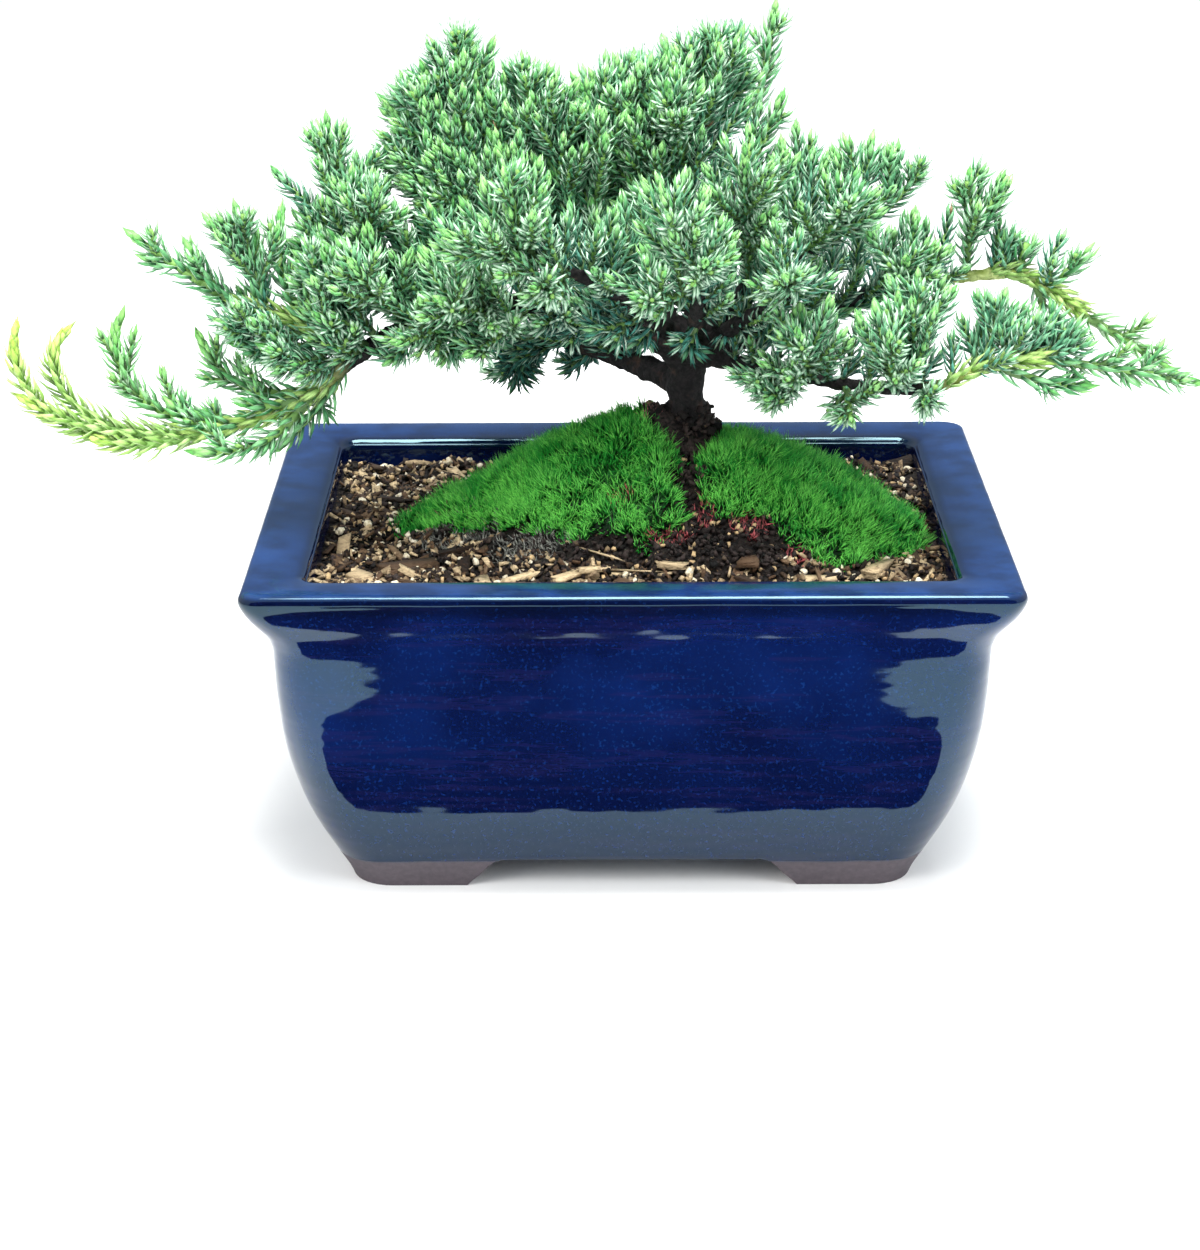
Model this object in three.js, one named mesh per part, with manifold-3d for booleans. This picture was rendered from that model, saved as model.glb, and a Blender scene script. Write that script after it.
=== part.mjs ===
// A juniper bonsai in a glazed rectangular pot, in millimetres: +Z up, +X to the viewer's right, +Y away.
// Everything is laid out about the middle of the pot's foot, and moved at the end to the middle of
// the finished box.

import * as THREE from "three";
import { mergeVertices } from "three/addons/utils/BufferGeometryUtils.js";
import Module from "manifold-3d";

const wasm = await Module();
wasm.setup();

const V = (x, y, z) => new THREE.Vector3(x, y, z);
const UP = V(0, 0, 1);
const CLEAR = 0.3; // gap between neighbouring pieces

// The pot: a 6 inch rectangle. A ring is [inset from the rim's edge, height, corner radius].
const POT_WIDTH = 154.4;
const POT_DEPTH = 122.6;
const POT_OUTSIDE = [
  [19.2, 0, 8.5],
  [18.1, 2.8, 9],
  [15.9, 7.2, 9.5],
  [13.1, 12.8, 10.5],
  [10.6, 18.6, 11.5],
  [8.8, 24.2, 12],
  [7.3, 30.4, 12],
  [6.2, 37.3, 11.5],
  [5.6, 45, 10.5],
  [5.4, 53.2, 9],
  [5.1, 56.4, 8.5],
  [4.1, 59, 7.5],
  [2.7, 61.4, 6.5],
  [1.3, 63.9, 5.5],
  [0.3, 66.6, 4.5],
  [0, 68, 4.2],
  [0.4, 69.3, 4.2],
  [1.6, 70, 4.2],
];
const POT_INSIDE = [
  [11.4, 69.1, 4.5],
  [12.3, 68.5, 4.2],
  [12.7, 67, 4],
  [12.9, 55, 4],
  [14.4, 33, 4.5],
  [17.8, 18, 5],
  [22, 12, 6],
];
const FOOT_HEIGHT = 7.2;
const FOOT_GAP_X = 55; // between the feet at the front, at their top
const FOOT_GAP_Y = 38;
const DRAIN_RADIUS = 8;
const FLOOR_Z = 12;

// The screen over the drain hole.
const SCREEN_SIDE = 24;
const SCREEN_THICKNESS = 0.8;
const SCREEN_HOLE = 7;

// The soil and the mound under the trunk.
const SOIL_LEVEL = 63.5;
const MOUND = { x: 4, y: 0, height: 27, left: 56, right: 60, front: 42, back: 38 };

// Moss cushions: a centre and the reach of each in eight directions, starting at +X and turning to +Y.
const MOSS = {
  moss_left: { x: -14, y: -5, reach: [19, 20, 20, 26, 37, 25, 26, 28] },
  moss_right: { x: 34, y: -5, reach: [29, 24, 20, 20, 16, 19, 24, 28] },
};
const MOSS_THICKNESS = 3;

// The trunk's centre line and its radius at each point, from the buried foot to the fork.
const TRUNK_LINE = [V(13, 1, 71), V(13, 1, 77), V(13, 1, 83), V(12, 0, 89), V(11.6, 0, 96), V(13, 1, 104)];
const TRUNK_RADII = [8, 7.2, 5.8, 4.7, 4.4, 4.5];
const ROUGHNESS = 0.1; // of the bark, as a share of a radius
const LIMB_STEPS = 4; // straight stretches in a limb

// Limbs and bare twigs: a cubic curve's four points, then the radius at each end.
const LIMBS = {
  left: [V(12, 0, 100), V(-6, -8, 121), V(-43, -14, 120), V(-60, -14, 102), 3.4, 1.7],
  left_trail: [V(-60, -14, 102), V(-66, -15, 96), V(-78, -18, 91), V(-92, -20, 91), 1.6, 0.9],
  left_fan: [V(-57, -14, 105), V(-64, -14, 113), V(-72, -13, 114), V(-80, -13, 116), 1.5, 0.8],
  left_rise: [V(-38, -12, 115), V(-50, -9, 118), V(-56, -7, 122), V(-59, -6, 131), 2, 1],
  low_back_left: [V(11, 2, 99), V(-6, 18, 93), V(-16, 28, 102), V(-24, 34, 98), 2.8, 1.1],
  left_up: [V(13, 2, 103), V(0, 8, 122), V(-25, 4, 126), V(-34, 3, 146), 3.2, 1.2],
  centre_up: [V(13, 2, 104), V(17, 10, 118), V(8, 12, 130), V(15, 13, 146), 3.2, 1.2],
  back_up: [V(13, 3, 102), V(16, 24, 112), V(24, 48, 122), V(28, 58, 140), 2.6, 1],
  right_up: [V(14, 0, 103), V(22, -2, 118), V(37, -6, 128), V(50, -2, 131), 2.8, 1.2],
  right: [V(14, 0, 102), V(33, 4, 107), V(54, 6, 116), V(74, 0, 119), 2.8, 1.4],
  right_arch: [V(74, 0, 119), V(80, -1, 121), V(87, -4, 117), V(93, -8, 112), 1.3, 0.9],
  right_low: [V(14, -2, 102), V(28, -14, 104), V(46, -24, 99), V(63, -28, 103), 2.4, 1.3],
  right_low_trail: [V(63, -28, 103), V(68, -29, 107), V(75, -28, 109), V(82, -27, 108), 1.2, 0.9],
  front_left: [V(12, -2, 103), V(4, -22, 119), V(-8, -28, 125), V(-19, -32, 130), 2.4, 1],
  front: [V(13, -2, 103), V(14, -22, 118), V(13, -30, 122), V(13, -34, 128), 2.2, 1],
  front_right: [V(14, -2, 103), V(22, -16, 114), V(28, -24, 118), V(33, -28, 123), 2.2, 1],
  back_left: [V(12, 3, 102), V(2, 24, 108), V(-11, 36, 113), V(-24, 40, 118), 2.4, 1],
  back: [V(13, 4, 102), V(13, 28, 106), V(14, 36, 110), V(16, 42, 117), 2.2, 1],
  back_right: [V(14, 3, 102), V(28, 24, 106), V(40, 34, 110), V(50, 38, 113), 2.4, 1],
};

// Leafy sprays: the limb that each grows from, how far along it, where the leader's tip is, and how
// far the leader bows, where it isn't SAG.
const SPRAYS = {
  trail_tip: ["left_trail", 1, V(-124, -26, 113), 0.45],
  trail_second: ["left_trail", 0.8, V(-113, -17, 114), 0.35],
  trail_third: ["left_trail", 0.45, V(-103, -14, 114), 0.2],
  trail_under: ["left_trail", 0.25, V(-90, -26, 84)],
  trail_inner: ["left_trail", 0.1, V(-87, -9, 108)],
  fan_far: ["left_fan", 1, V(-101, -18, 132)],
  fan_mid: ["left_fan", 0.75, V(-80, -12, 138)],
  left_drop: ["left", 0.96, V(-74, -11, 84)],
  left_peak: ["left_rise", 1, V(-62, -4, 153)],
  left_high: ["left_rise", 0.7, V(-50, -22, 143)],
  left_front: ["left", 0.75, V(-56, -34, 131)],
  left_side: ["left", 0.88, V(-64, -26, 118)],
  left_low: ["left", 0.62, V(-48, -34, 113)],
  left_under: ["left", 0.45, V(-34, -30, 109)],
  left_face: ["left", 0.5, V(-39, -40, 124)],
  left_brow: ["front_left", 0.9, V(-38, -42, 138)],
  crown_left: ["left_up", 1, V(-35, 4, 171)],
  crown_edge: ["left_up", 0.82, V(-47, -2, 162)],
  crown_back: ["left_up", 0.9, V(-30, 27, 157)],
  crown_dip: ["left_up", 0.6, V(-21, 3, 165)],
  crown_low: ["left_up", 0.4, V(-9, 2, 160)],
  crown_mid: ["centre_up", 0.65, V(-1, 29, 155)],
  crown_fore: ["centre_up", 0.78, V(7, -6, 161)],
  crown_right: ["centre_up", 1, V(18, 12, 168)],
  crown_behind: ["centre_up", 0.9, V(25, 22, 161)],
  back_tip: ["back_up", 1, V(31, 62, 165)],
  back_low_tip: ["back_up", 0.75, V(37, 48, 147)],
  right_top_in: ["right_up", 0.55, V(38, 26, 141)],
  right_top: ["right_up", 0.85, V(50, 2, 149)],
  right_shoulder: ["right_up", 1, V(61, -4, 144)],
  right_face_high: ["right_up", 0.6, V(45, -24, 141)],
  right_fore: ["right_up", 0.35, V(22, -28, 152)],
  right_rise: ["right", 0.96, V(72, -4, 143)],
  right_face: ["right", 0.7, V(55, -22, 128)],
  arch_rise: ["right_arch", 0.3, V(84, -2, 129)],
  arch_out: ["right_arch", 0.6, V(96, -5, 127)],
  arch_tip: ["right_arch", 1, V(109, -13, 104), 0],
  low_tip: ["right_low_trail", 1, V(116, -22, 101.5), -0.06],
  low_drop: ["right_low", 0.92, V(62, -38, 99)],
  low_front: ["right_low", 0.62, V(44, -34, 96)],
  low_inner: ["right_low", 0.4, V(28, -27, 96)],
  low_face: ["right_low", 0.5, V(32, -40, 118)],
  low_side: ["right_low", 0.8, V(50, -42, 118)],
  front_right_tip: ["front_right", 1, V(29, -47, 130)],
  front_mid: ["front", 1, V(14, -52, 134)],
  front_low: ["front", 0.75, V(-1, -48, 126)],
  front_brow: ["front", 0.9, V(5, -46, 148)],
  front_left_tip: ["front_left", 1, V(-25, -43, 151)],
  front_left_low: ["front_left", 0.8, V(-20, -46, 127)],
  back_left_low: ["low_back_left", 1, V(-30, 42, 85)],
  back_left_tip: ["back_left", 1, V(-36, 56, 128)],
  back_left_mid: ["back_left", 0.6, V(-12, 58, 130)],
  back_mid: ["back", 1, V(12, 62, 132)],
  back_right_tip: ["back_right", 1, V(64, 52, 122)],
};
const SAG = 0.12; // how far below the straight line a leader bows, as a share of its length
const TIP_NEEDLES = 3; // how far the last needles reach past the end of the stem
const STEM_RADIUS = 0.95;
const WHORL_STEP = 3.5; // between whorls of three needles
const NEEDLE_LENGTH = 5.4;
const NEEDLE_OPEN = 0.9; // radians from the stem, half way along a shoot
const NEEDLE_SHUT = 0.3; // and at its tip
const TWIG_STEP = 9; // of leader for each side shoot
const END_POINT = 2.2; // how far a shoot's tip needles pass its last whorl
const GOLDEN_ANGLE = 2.4;

// A fixed draw from 0 to 1 for a few whole numbers.
function draw(i, j = 0, k = 0) {
  const s = Math.sin(i * 12.9898 + j * 78.233 + k * 37.719) * 43758.5453;
  return s - Math.floor(s);
}

// Solids from points and faces or from a three.js geometry, and back.
function solidOf(points, faces) {
  const vertProperties = new Float32Array(points.flatMap((p) => [p.x, p.y, p.z]));
  return new wasm.Manifold(
    new wasm.Mesh({ numProp: 3, vertProperties, triVerts: new Uint32Array(faces.flat()) }),
  );
}

function solidFrom(geometry) {
  const bare = geometry.clone();
  bare.deleteAttribute("normal");
  bare.deleteAttribute("uv");
  const merged = mergeVertices(bare, 1e-4);
  return new wasm.Manifold(
    new wasm.Mesh({
      numProp: 3,
      vertProperties: merged.attributes.position.array,
      triVerts: new Uint32Array(merged.index.array),
    }),
  );
}

function geometryOf(solid) {
  const mesh = solid.getMesh();
  const geometry = new THREE.BufferGeometry();
  geometry.setAttribute("position", new THREE.BufferAttribute(mesh.vertProperties, 3));
  geometry.setIndex(new THREE.BufferAttribute(mesh.triVerts, 1));
  geometry.computeVertexNormals();
  return geometry;
}

// Closes a stack of equal rings, each anticlockwise seen from above, with a point at either end.
function loft(rings, first, last) {
  const n = rings[0].length;
  const points = [...rings.flat(), first, last];
  const faces = [];
  for (let k = 0; k < n; k++) {
    const next = (k + 1) % n;
    const top = (rings.length - 1) * n;
    faces.push([rings.length * n, next, k], [rings.length * n + 1, top + k, top + next]);
    for (let i = 0; i < rings.length - 1; i++) {
      const low = i * n;
      faces.push([low + k, low + next, low + n + next], [low + k, low + n + next, low + n + k]);
    }
  }
  return solidOf(points, faces);
}

// A rectangle with round corners at height z, and as many extra points as asked for on each side.
function roundedRing(halfX, halfY, radius, z, cornerSteps, sidePoints) {
  const ring = [];
  for (let q = 0; q < 4; q++) {
    const cx = (q === 0 || q === 3 ? 1 : -1) * (halfX - radius);
    const cy = (q < 2 ? 1 : -1) * (halfY - radius);
    for (let s = 0; s <= cornerSteps; s++) {
      const a = (q + s / cornerSteps) * (Math.PI / 2);
      ring.push(V(cx + radius * Math.cos(a), cy + radius * Math.sin(a), z));
    }
    const along = q % 2 === 0 ? V(-2 * (halfX - radius), 0, 0) : V(0, -2 * (halfY - radius), 0);
    if (q > 1) along.negate();
    const from = ring[ring.length - 1];
    for (let s = 1; s <= sidePoints; s++) {
      ring.push(from.clone().addScaledVector(along, s / (sidePoints + 1)));
    }
  }
  return ring;
}

function potRing([inset, z, radius], shrink = 0, sidePoints = 0) {
  const halfX = POT_WIDTH / 2 - inset - shrink;
  const halfY = POT_DEPTH / 2 - inset - shrink;
  return roundedRing(halfX, halfY, Math.max(radius - shrink, 1), z, 3, sidePoints);
}

// A bar under the pot whose ends slope and curve outwards to the feet, as long as the pot is wide.
function footChannel(gap) {
  const half = gap / 2;
  const side = [
    [half + 7, -1],
    [half + 6.4, 0.6],
    [half + 3.6, 3.4],
    [half + 2, 5.6],
    [half - 0.6, FOOT_HEIGHT],
  ];
  const outline = [...side, ...side.map(([x, z]) => [-x, z]).reverse()];
  const shape = new THREE.Shape(outline.map(([x, z]) => new THREE.Vector2(x, z)));
  const bar = new THREE.ExtrudeGeometry(shape, { depth: 2 * POT_WIDTH, bevelEnabled: false });
  return bar.translate(0, 0, -POT_WIDTH).rotateX(Math.PI / 2);
}

function makePot() {
  const rings = [...POT_OUTSIDE, ...POT_INSIDE].map((ring) => potRing(ring));
  const drain = new THREE.CylinderGeometry(DRAIN_RADIUS, DRAIN_RADIUS, 4 * FLOOR_Z, 16);
  return loft(rings, V(0, 0, 0), V(0, 0, FLOOR_Z))
    .subtract(solidFrom(footChannel(FOOT_GAP_X)))
    .subtract(solidFrom(footChannel(FOOT_GAP_Y).rotateZ(Math.PI / 2)))
    .subtract(solidFrom(drain.rotateX(Math.PI / 2)));
}

function makeScreen() {
  const plate = new THREE.BoxGeometry(SCREEN_SIDE, SCREEN_SIDE, SCREEN_THICKNESS);
  const hole = new THREE.BoxGeometry(SCREEN_HOLE, SCREEN_HOLE, 4 * SCREEN_THICKNESS);
  let screen = solidFrom(plate);
  for (const i of [-0.65, 0.65]) {
    for (const j of [-0.65, 0.65]) {
      screen = screen.subtract(solidFrom(hole.clone().translate(i * SCREEN_HOLE, j * SCREEN_HOLE, 0)));
    }
  }
  return screen.translate([0, 0, FLOOR_Z + CLEAR + SCREEN_THICKNESS / 2]);
}

// The soil's height: a level bed, a cone with two long wings, and lumps of bark.
function ground(x, y) {
  const dx = (x - MOUND.x) / (x < MOUND.x ? MOUND.left : MOUND.right);
  const dy = (y - MOUND.y) / (y < MOUND.y ? MOUND.front : MOUND.back);
  const cone = MOUND.height * Math.max(0, 1 - Math.hypot(dx, dy));
  const lumps = 0.7 * Math.sin(0.55 * x + 1.3) * Math.sin(0.62 * y + 0.4);
  return SOIL_LEVEL + cone + lumps + 0.6 * Math.sin(0.21 * x - 0.33 * y);
}

function makeBed() {
  const sides = [];
  for (const [inset, z, radius] of [...POT_INSIDE].reverse()) {
    if (z < SOIL_LEVEL - 4) {
      sides.push(potRing([inset, Math.max(z, FLOOR_Z + CLEAR), radius], 0.5, 3));
    }
  }
  const edge = potRing([POT_INSIDE[2][0], SOIL_LEVEL, POT_INSIDE[2][2]], 0.6, 3);
  const top = [];
  for (const share of [1, 0.88, 0.74, 0.6, 0.46, 0.32, 0.19, 0.09]) {
    top.push(
      edge.map((p) => {
        const x = MOUND.x + (p.x - MOUND.x) * share;
        const y = MOUND.y + (p.y - MOUND.y) * share;
        return V(x, y, ground(x, y));
      }),
    );
  }
  const recess = new THREE.BoxGeometry(
    SCREEN_SIDE + 2 * CLEAR,
    SCREEN_SIDE + 2 * CLEAR,
    2 * (SCREEN_THICKNESS + CLEAR),
  ).translate(0, 0, FLOOR_Z + CLEAR);
  const peak = V(MOUND.x, MOUND.y, ground(MOUND.x, MOUND.y));
  return loft([...sides, ...top], V(0, 0, FLOOR_Z + CLEAR), peak).subtract(solidFrom(recess));
}

// A cushion's top is a dome over its outline, cut along the soil's own surface.
function makeMoss({ x, y, reach }, bed, trunkHole) {
  const directions = 20;
  const rings = [];
  for (const share of [1, 0.9, 0.7, 0.45, 0.2]) {
    const ring = [];
    for (let k = 0; k < directions; k++) {
      const step = (k / directions) * reach.length;
      const i = Math.floor(step);
      const ease = (1 - Math.cos(Math.PI * (step - i))) / 2;
      const edge = THREE.MathUtils.lerp(reach[i], reach[(i + 1) % reach.length], ease);
      const a = (2 * Math.PI * k) / directions;
      const px = x + share * edge * Math.cos(a);
      const py = y + share * edge * Math.sin(a);
      const tuft = 0.8 * (draw(k, Math.round(10 * share)) - 0.5);
      ring.push(V(px, py, ground(px, py) + MOSS_THICKNESS * (1.15 - share ** 3) + tuft));
    }
    rings.push(ring);
  }
  const low = rings[0].map((p) => V(p.x, p.y, SOIL_LEVEL - 6));
  const dome = loft([low, ...rings], V(x, y, SOIL_LEVEL - 6), V(x, y, ground(x, y) + MOSS_THICKNESS));
  const pieces = dome.subtract(bed.translate([0, 0, CLEAR])).subtract(trunkHole).decompose();
  return pieces.reduce((a, b) => (b.volume() > a.volume() ? b : a));
}

// Two directions across a curve, which with its tangent make a right-handed frame.
const ACROSS = V(0.8, 0.6, 0);
function frameAt(curve, t) {
  const along = curve.getTangent(t);
  const u = new THREE.Vector3().crossVectors(along, ACROSS).normalize();
  return { centre: curve.getPoint(t), along, u, v: new THREE.Vector3().crossVectors(along, u) };
}

function spoke({ u, v }, angle) {
  return u.clone().multiplyScalar(Math.cos(angle)).addScaledVector(v, Math.sin(angle));
}

// A round tube along a curve, flat at its start and pointed at its end, as rough as asked for.
function makeTube(curve, radii, sides, roughness, seed) {
  const steps = radii.length - 1;
  const frames = radii.map((_, i) => frameAt(curve, i / steps));
  const rings = frames.map((frame, i) =>
    Array.from({ length: sides }, (_, k) => {
      const rough = 1 + roughness * (2 * draw(seed, i, k) - 1);
      return spoke(frame, (2 * Math.PI * k) / sides)
        .multiplyScalar(radii[i] * rough)
        .add(frame.centre);
    }),
  );
  const end = frames[steps];
  const point = end.centre.clone().addScaledVector(end.along, 0.8 * radii[steps]);
  return loft(rings, frames[0].centre, point);
}

function limbCurve(limb) {
  return new THREE.CubicBezierCurve3(...limb.slice(0, 4));
}

function limbRadius(limb, t) {
  return THREE.MathUtils.lerp(limb[4], limb[5], t ** 0.8);
}

function makeWood() {
  let wood = makeTube(new THREE.CatmullRomCurve3(TRUNK_LINE), TRUNK_RADII, 9, ROUGHNESS, 1);
  Object.values(LIMBS).forEach((limb, i) => {
    const radii = Array.from({ length: LIMB_STEPS + 1 }, (_, k) => limbRadius(limb, k / LIMB_STEPS));
    wood = wood.add(makeTube(limbCurve(limb), radii, 5, ROUGHNESS, 10 + i));
  });
  return wood;
}

// Tapered rods that stand for wood, stems and needles when clearances are worked out.
const rods = [];
function addRod(owner, a, b, ra, rb) {
  rods.push({ owner, line: new THREE.Line3(a, b), ra, rb });
}

// Owners are named by spray and shoot, such as "crown_left/2", and one is clear of itself.
function isClear(owner, a, b, ra, rb) {
  const line = new THREE.Line3(a, b);
  const c1 = V(0, 0, 0);
  const c2 = V(0, 0, 0);
  const length = line.distance();
  return rods.every((rod) => {
    if (rod.owner.startsWith(owner)) return true;
    const reach = Math.max(ra, rb) + Math.max(rod.ra, rod.rb) + CLEAR;
    const squared = line.distanceSqToLine3(rod.line, c1, c2);
    if (squared > reach * reach) return true;
    const r1 = THREE.MathUtils.lerp(ra, rb, c1.distanceTo(a) / length);
    const r2 = THREE.MathUtils.lerp(rod.ra, rod.rb, c2.distanceTo(rod.line.start) / rod.line.distance());
    return Math.sqrt(squared) > r1 + r2 + CLEAR;
  });
}

function addWoodRods() {
  for (let i = 1; i < TRUNK_LINE.length; i++) {
    addRod("wood", TRUNK_LINE[i - 1], TRUNK_LINE[i], TRUNK_RADII[i - 1], TRUNK_RADII[i]);
  }
  for (const limb of Object.values(LIMBS)) {
    const curve = limbCurve(limb);
    for (let k = 0; k < LIMB_STEPS; k++) {
      const from = k / LIMB_STEPS;
      const to = (k + 1) / LIMB_STEPS;
      addRod("wood", curve.getPoint(from), curve.getPoint(to), limbRadius(limb, from), limbRadius(limb, to));
    }
  }
}

// A shoot starts on its parent's centre line, bows a little and turns up to its tip.
function shootCurve(root, tip, sag) {
  const bow = V(0, 0, -sag * root.distanceTo(tip));
  return new THREE.QuadraticBezierCurve3(root, root.clone().lerp(tip, 0.5).add(bow), tip);
}

function sideCurves(curve, seed) {
  const length = curve.getLength();
  const count = Math.round(length / TWIG_STEP);
  const shoots = [];
  for (let j = 0; j < count; j++) {
    const t = 0.3 + (0.55 * (j + 0.5)) / count;
    const frame = frameAt(curve, t);
    const reach = (0.2 + 0.16 * draw(seed, j)) * length * (1.3 - t) + 6;
    const heading = spoke(frame, GOLDEN_ANGLE * j + 6.28 * draw(seed, 7))
      .multiplyScalar(0.75)
      .addScaledVector(frame.along, 0.7)
      .addScaledVector(UP, 0.25)
      .normalize();
    const tip = frame.centre.clone().addScaledVector(heading, reach).addScaledVector(UP, 0.15 * reach);
    shoots.push(shootCurve(frame.centre, tip, 0.1));
  }
  return shoots;
}

function stemRods(shoot) {
  const at = (k) => shoot.curve.getPoint(THREE.MathUtils.lerp(shoot.start, 1, k / 5));
  return [0, 1, 2, 3, 4].map((k) => [at(k), at(k + 1), STEM_RADIUS, STEM_RADIUS * 0.8]);
}

// A stem is a chain of triangles, each turned a sixth of a turn from the last, so that three of
// the six faces between two of them can each be drawn out into a needle.
function makeShoot({ owner, curve, start, bare, seed }) {
  const whorls = Math.max(3, Math.round((curve.getLength() * (1 - start)) / WHORL_STEP));
  const rings = [];
  for (let i = 0; i <= whorls; i++) {
    const t = THREE.MathUtils.lerp(start, 1, (i / whorls) ** 0.9);
    const frame = frameAt(curve, Math.min(t, 0.999));
    const turn = (i * Math.PI) / 3 + 6.28 * draw(seed, 3);
    const radius = STEM_RADIUS * (1 - 0.3 * (i / whorls));
    const corners = [0, 1, 2].map((k) =>
      spoke(frame, turn + (2 * Math.PI * k) / 3).multiplyScalar(radius).add(frame.centre),
    );
    rings.push({ frame, turn, corners });
  }
  const points = rings.flatMap((ring) => ring.corners);
  const faces = [[0, 2, 1]];
  for (let i = 0; i < whorls; i++) {
    const { frame, turn } = rings[i];
    const late = THREE.MathUtils.smoothstep(i / whorls, 0.5, 1);
    for (let k = 0; k < 3; k++) {
      const a = 3 * i + k;
      const b = 3 * i + ((k + 1) % 3);
      const c = a + 3;
      faces.push([c, b, 3 * (i + 1) + ((k + 1) % 3)]);
      const base = [points[a], points[b], points[c]];
      const angle = turn + (Math.PI * (2 * k + 1)) / 3;
      const tip = i / whorls < bare ? null : needleTip(owner, base, frame, angle, late);
      if (tip) {
        faces.push([a, b, points.length], [b, c, points.length], [c, a, points.length]);
        points.push(tip);
      } else {
        faces.push([a, b, c]);
      }
    }
  }
  const last = 3 * whorls;
  for (let k = 0; k < 3; k++) {
    faces.push([last + k, last + ((k + 1) % 3), points.length]);
  }
  const { centre, along } = rings[whorls].frame;
  points.push(centre.clone().addScaledVector(along, END_POINT));
  return solidOf(points, faces);
}

// Where a needle ends: bent towards the stem or shortened until it clears everything, or left off.
function needleTip(owner, base, frame, angle, late) {
  const foot = base[0].clone().add(base[1]).add(base[2]).divideScalar(3);
  const out = spoke(frame, angle);
  for (const [bend, size] of [[1, 1], [0.75, 1], [1, 0.75], [0.6, 0.8]]) {
    const open = THREE.MathUtils.lerp(NEEDLE_OPEN, NEEDLE_SHUT, late) * bend;
    const length = NEEDLE_LENGTH * (1 - 0.3 * late) * size;
    const tip = foot
      .clone()
      .addScaledVector(frame.along, length * Math.cos(open))
      .addScaledVector(out, length * Math.sin(open));
    const near = foot.clone().lerp(tip, 0.15);
    if (isClear(owner, near, tip, 0.65, 0.1)) {
      addRod(owner, near, tip, 0.65, 0.1);
      return tip;
    }
  }
  return null;
}

// The leader starts where it is clear of the limb that carries it.
function leaderOf(name, [limbName, place, tip, sag = SAG], seed) {
  const root = limbCurve(LIMBS[limbName]).getPoint(place);
  const end = tip.clone().addScaledVector(tip.clone().sub(root).normalize(), -TIP_NEEDLES);
  const curve = shootCurve(root, end, sag);
  const cornersClear = (t) => {
    const frame = frameAt(curve, t);
    return [0, 1, 2, 3, 4, 5].every((k) => {
      const corner = spoke(frame, k).multiplyScalar(STEM_RADIUS).add(frame.centre);
      return isClear(name, corner, corner.clone().add(frame.along), 0, 0);
    });
  };
  let start = 0;
  while (start < 0.6 && !cornersClear(start)) start += 0.005;
  return { name, owner: name + "/0", curve, start, bare: 0.12, seed };
}

function makeSprays() {
  const leaders = Object.entries(SPRAYS).map(([name, spray], i) => leaderOf(name, spray, i + 1));
  for (const leader of leaders) {
    stemRods(leader).forEach((rod) => addRod(leader.owner, ...rod));
  }
  const sprays = leaders.map((leader) => [leader]);
  sprays.forEach((shoots, i) => {
    const leader = leaders[i];
    for (const curve of sideCurves(leader.curve, leader.seed)) {
      const owner = leader.name + "/" + shoots.length;
      const side = { owner, curve, start: 0, bare: 0.2, seed: 100 * leader.seed + shoots.length };
      const stems = stemRods(side);
      if (stems.every((rod) => isClear(leader.name, ...rod))) {
        stems.forEach((rod) => addRod(owner, ...rod));
        shoots.push(side);
      }
    }
  });
  return sprays.map((shoots) => [shoots[0].name, shoots.map(makeShoot).reduce((a, b) => a.add(b))]);
}

// Colours and finishes.
const glaze = new THREE.MeshStandardMaterial({ color: 0x0d1552, roughness: 0.12, metalness: 0 });
const plastic = new THREE.MeshStandardMaterial({ color: 0x1c1c1c, roughness: 0.7, metalness: 0 });
const earth = new THREE.MeshStandardMaterial({ color: 0x3b2c20, roughness: 0.95, metalness: 0 });
const mossGreen = new THREE.MeshStandardMaterial({ color: 0x2f8f12, roughness: 0.9, metalness: 0 });
const bark = new THREE.MeshStandardMaterial({ color: 0x30241e, roughness: 0.9, metalness: 0 });
const leafGreen = new THREE.MeshStandardMaterial({ color: 0x4f9a6c, roughness: 0.6, metalness: 0 });

const bonsai = new THREE.Group();
function addMesh(name, solid, material) {
  const mesh = new THREE.Mesh(geometryOf(solid), material.clone());
  mesh.name = name;
  bonsai.add(mesh);
}

const trunkFoot = makeTube(
  new THREE.CatmullRomCurve3(TRUNK_LINE),
  TRUNK_RADII.map((radius) => radius * (1 + ROUGHNESS) + 2 * CLEAR),
  12,
  0,
  1,
);
const trunkHole = trunkFoot.add(trunkFoot.translate([0, 0, -CLEAR]));
const bed = makeBed();
addWoodRods();

addMesh("pot", makePot(), glaze);
addMesh("drain_screen", makeScreen(), plastic);
addMesh("soil", bed.subtract(trunkHole), earth);
for (const [name, cushion] of Object.entries(MOSS)) {
  addMesh(name, makeMoss(cushion, bed, trunkHole), mossGreen);
}
addMesh("trunk", makeWood(), bark);
for (const [name, solid] of makeSprays()) {
  addMesh("spray_" + name, solid, leafGreen);
}

const box = new THREE.Box3().setFromObject(bonsai);
const centre = box.getCenter(V(0, 0, 0));
bonsai.position.set(-centre.x, -centre.y, -box.min.z);

export default bonsai;
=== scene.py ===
# %% [markdown]
# # A juniper bonsai in a glazed pot
# This lesson dresses a finished CAD model. The CAD nodes give the true size and place of every
# piece. We make finer pieces that stand where those nodes stand: a smooth glazed pot, soil full
# of bark and perlite, two cushions of moss, a rough trunk, and one leafy piece for each spray.
# Everything is in metres, and MM turns the millimetres that a maker thinks in into metres.

import math

import bmesh
import bpy
import numpy as np
from mathutils import Matrix, Vector, noise


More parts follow.
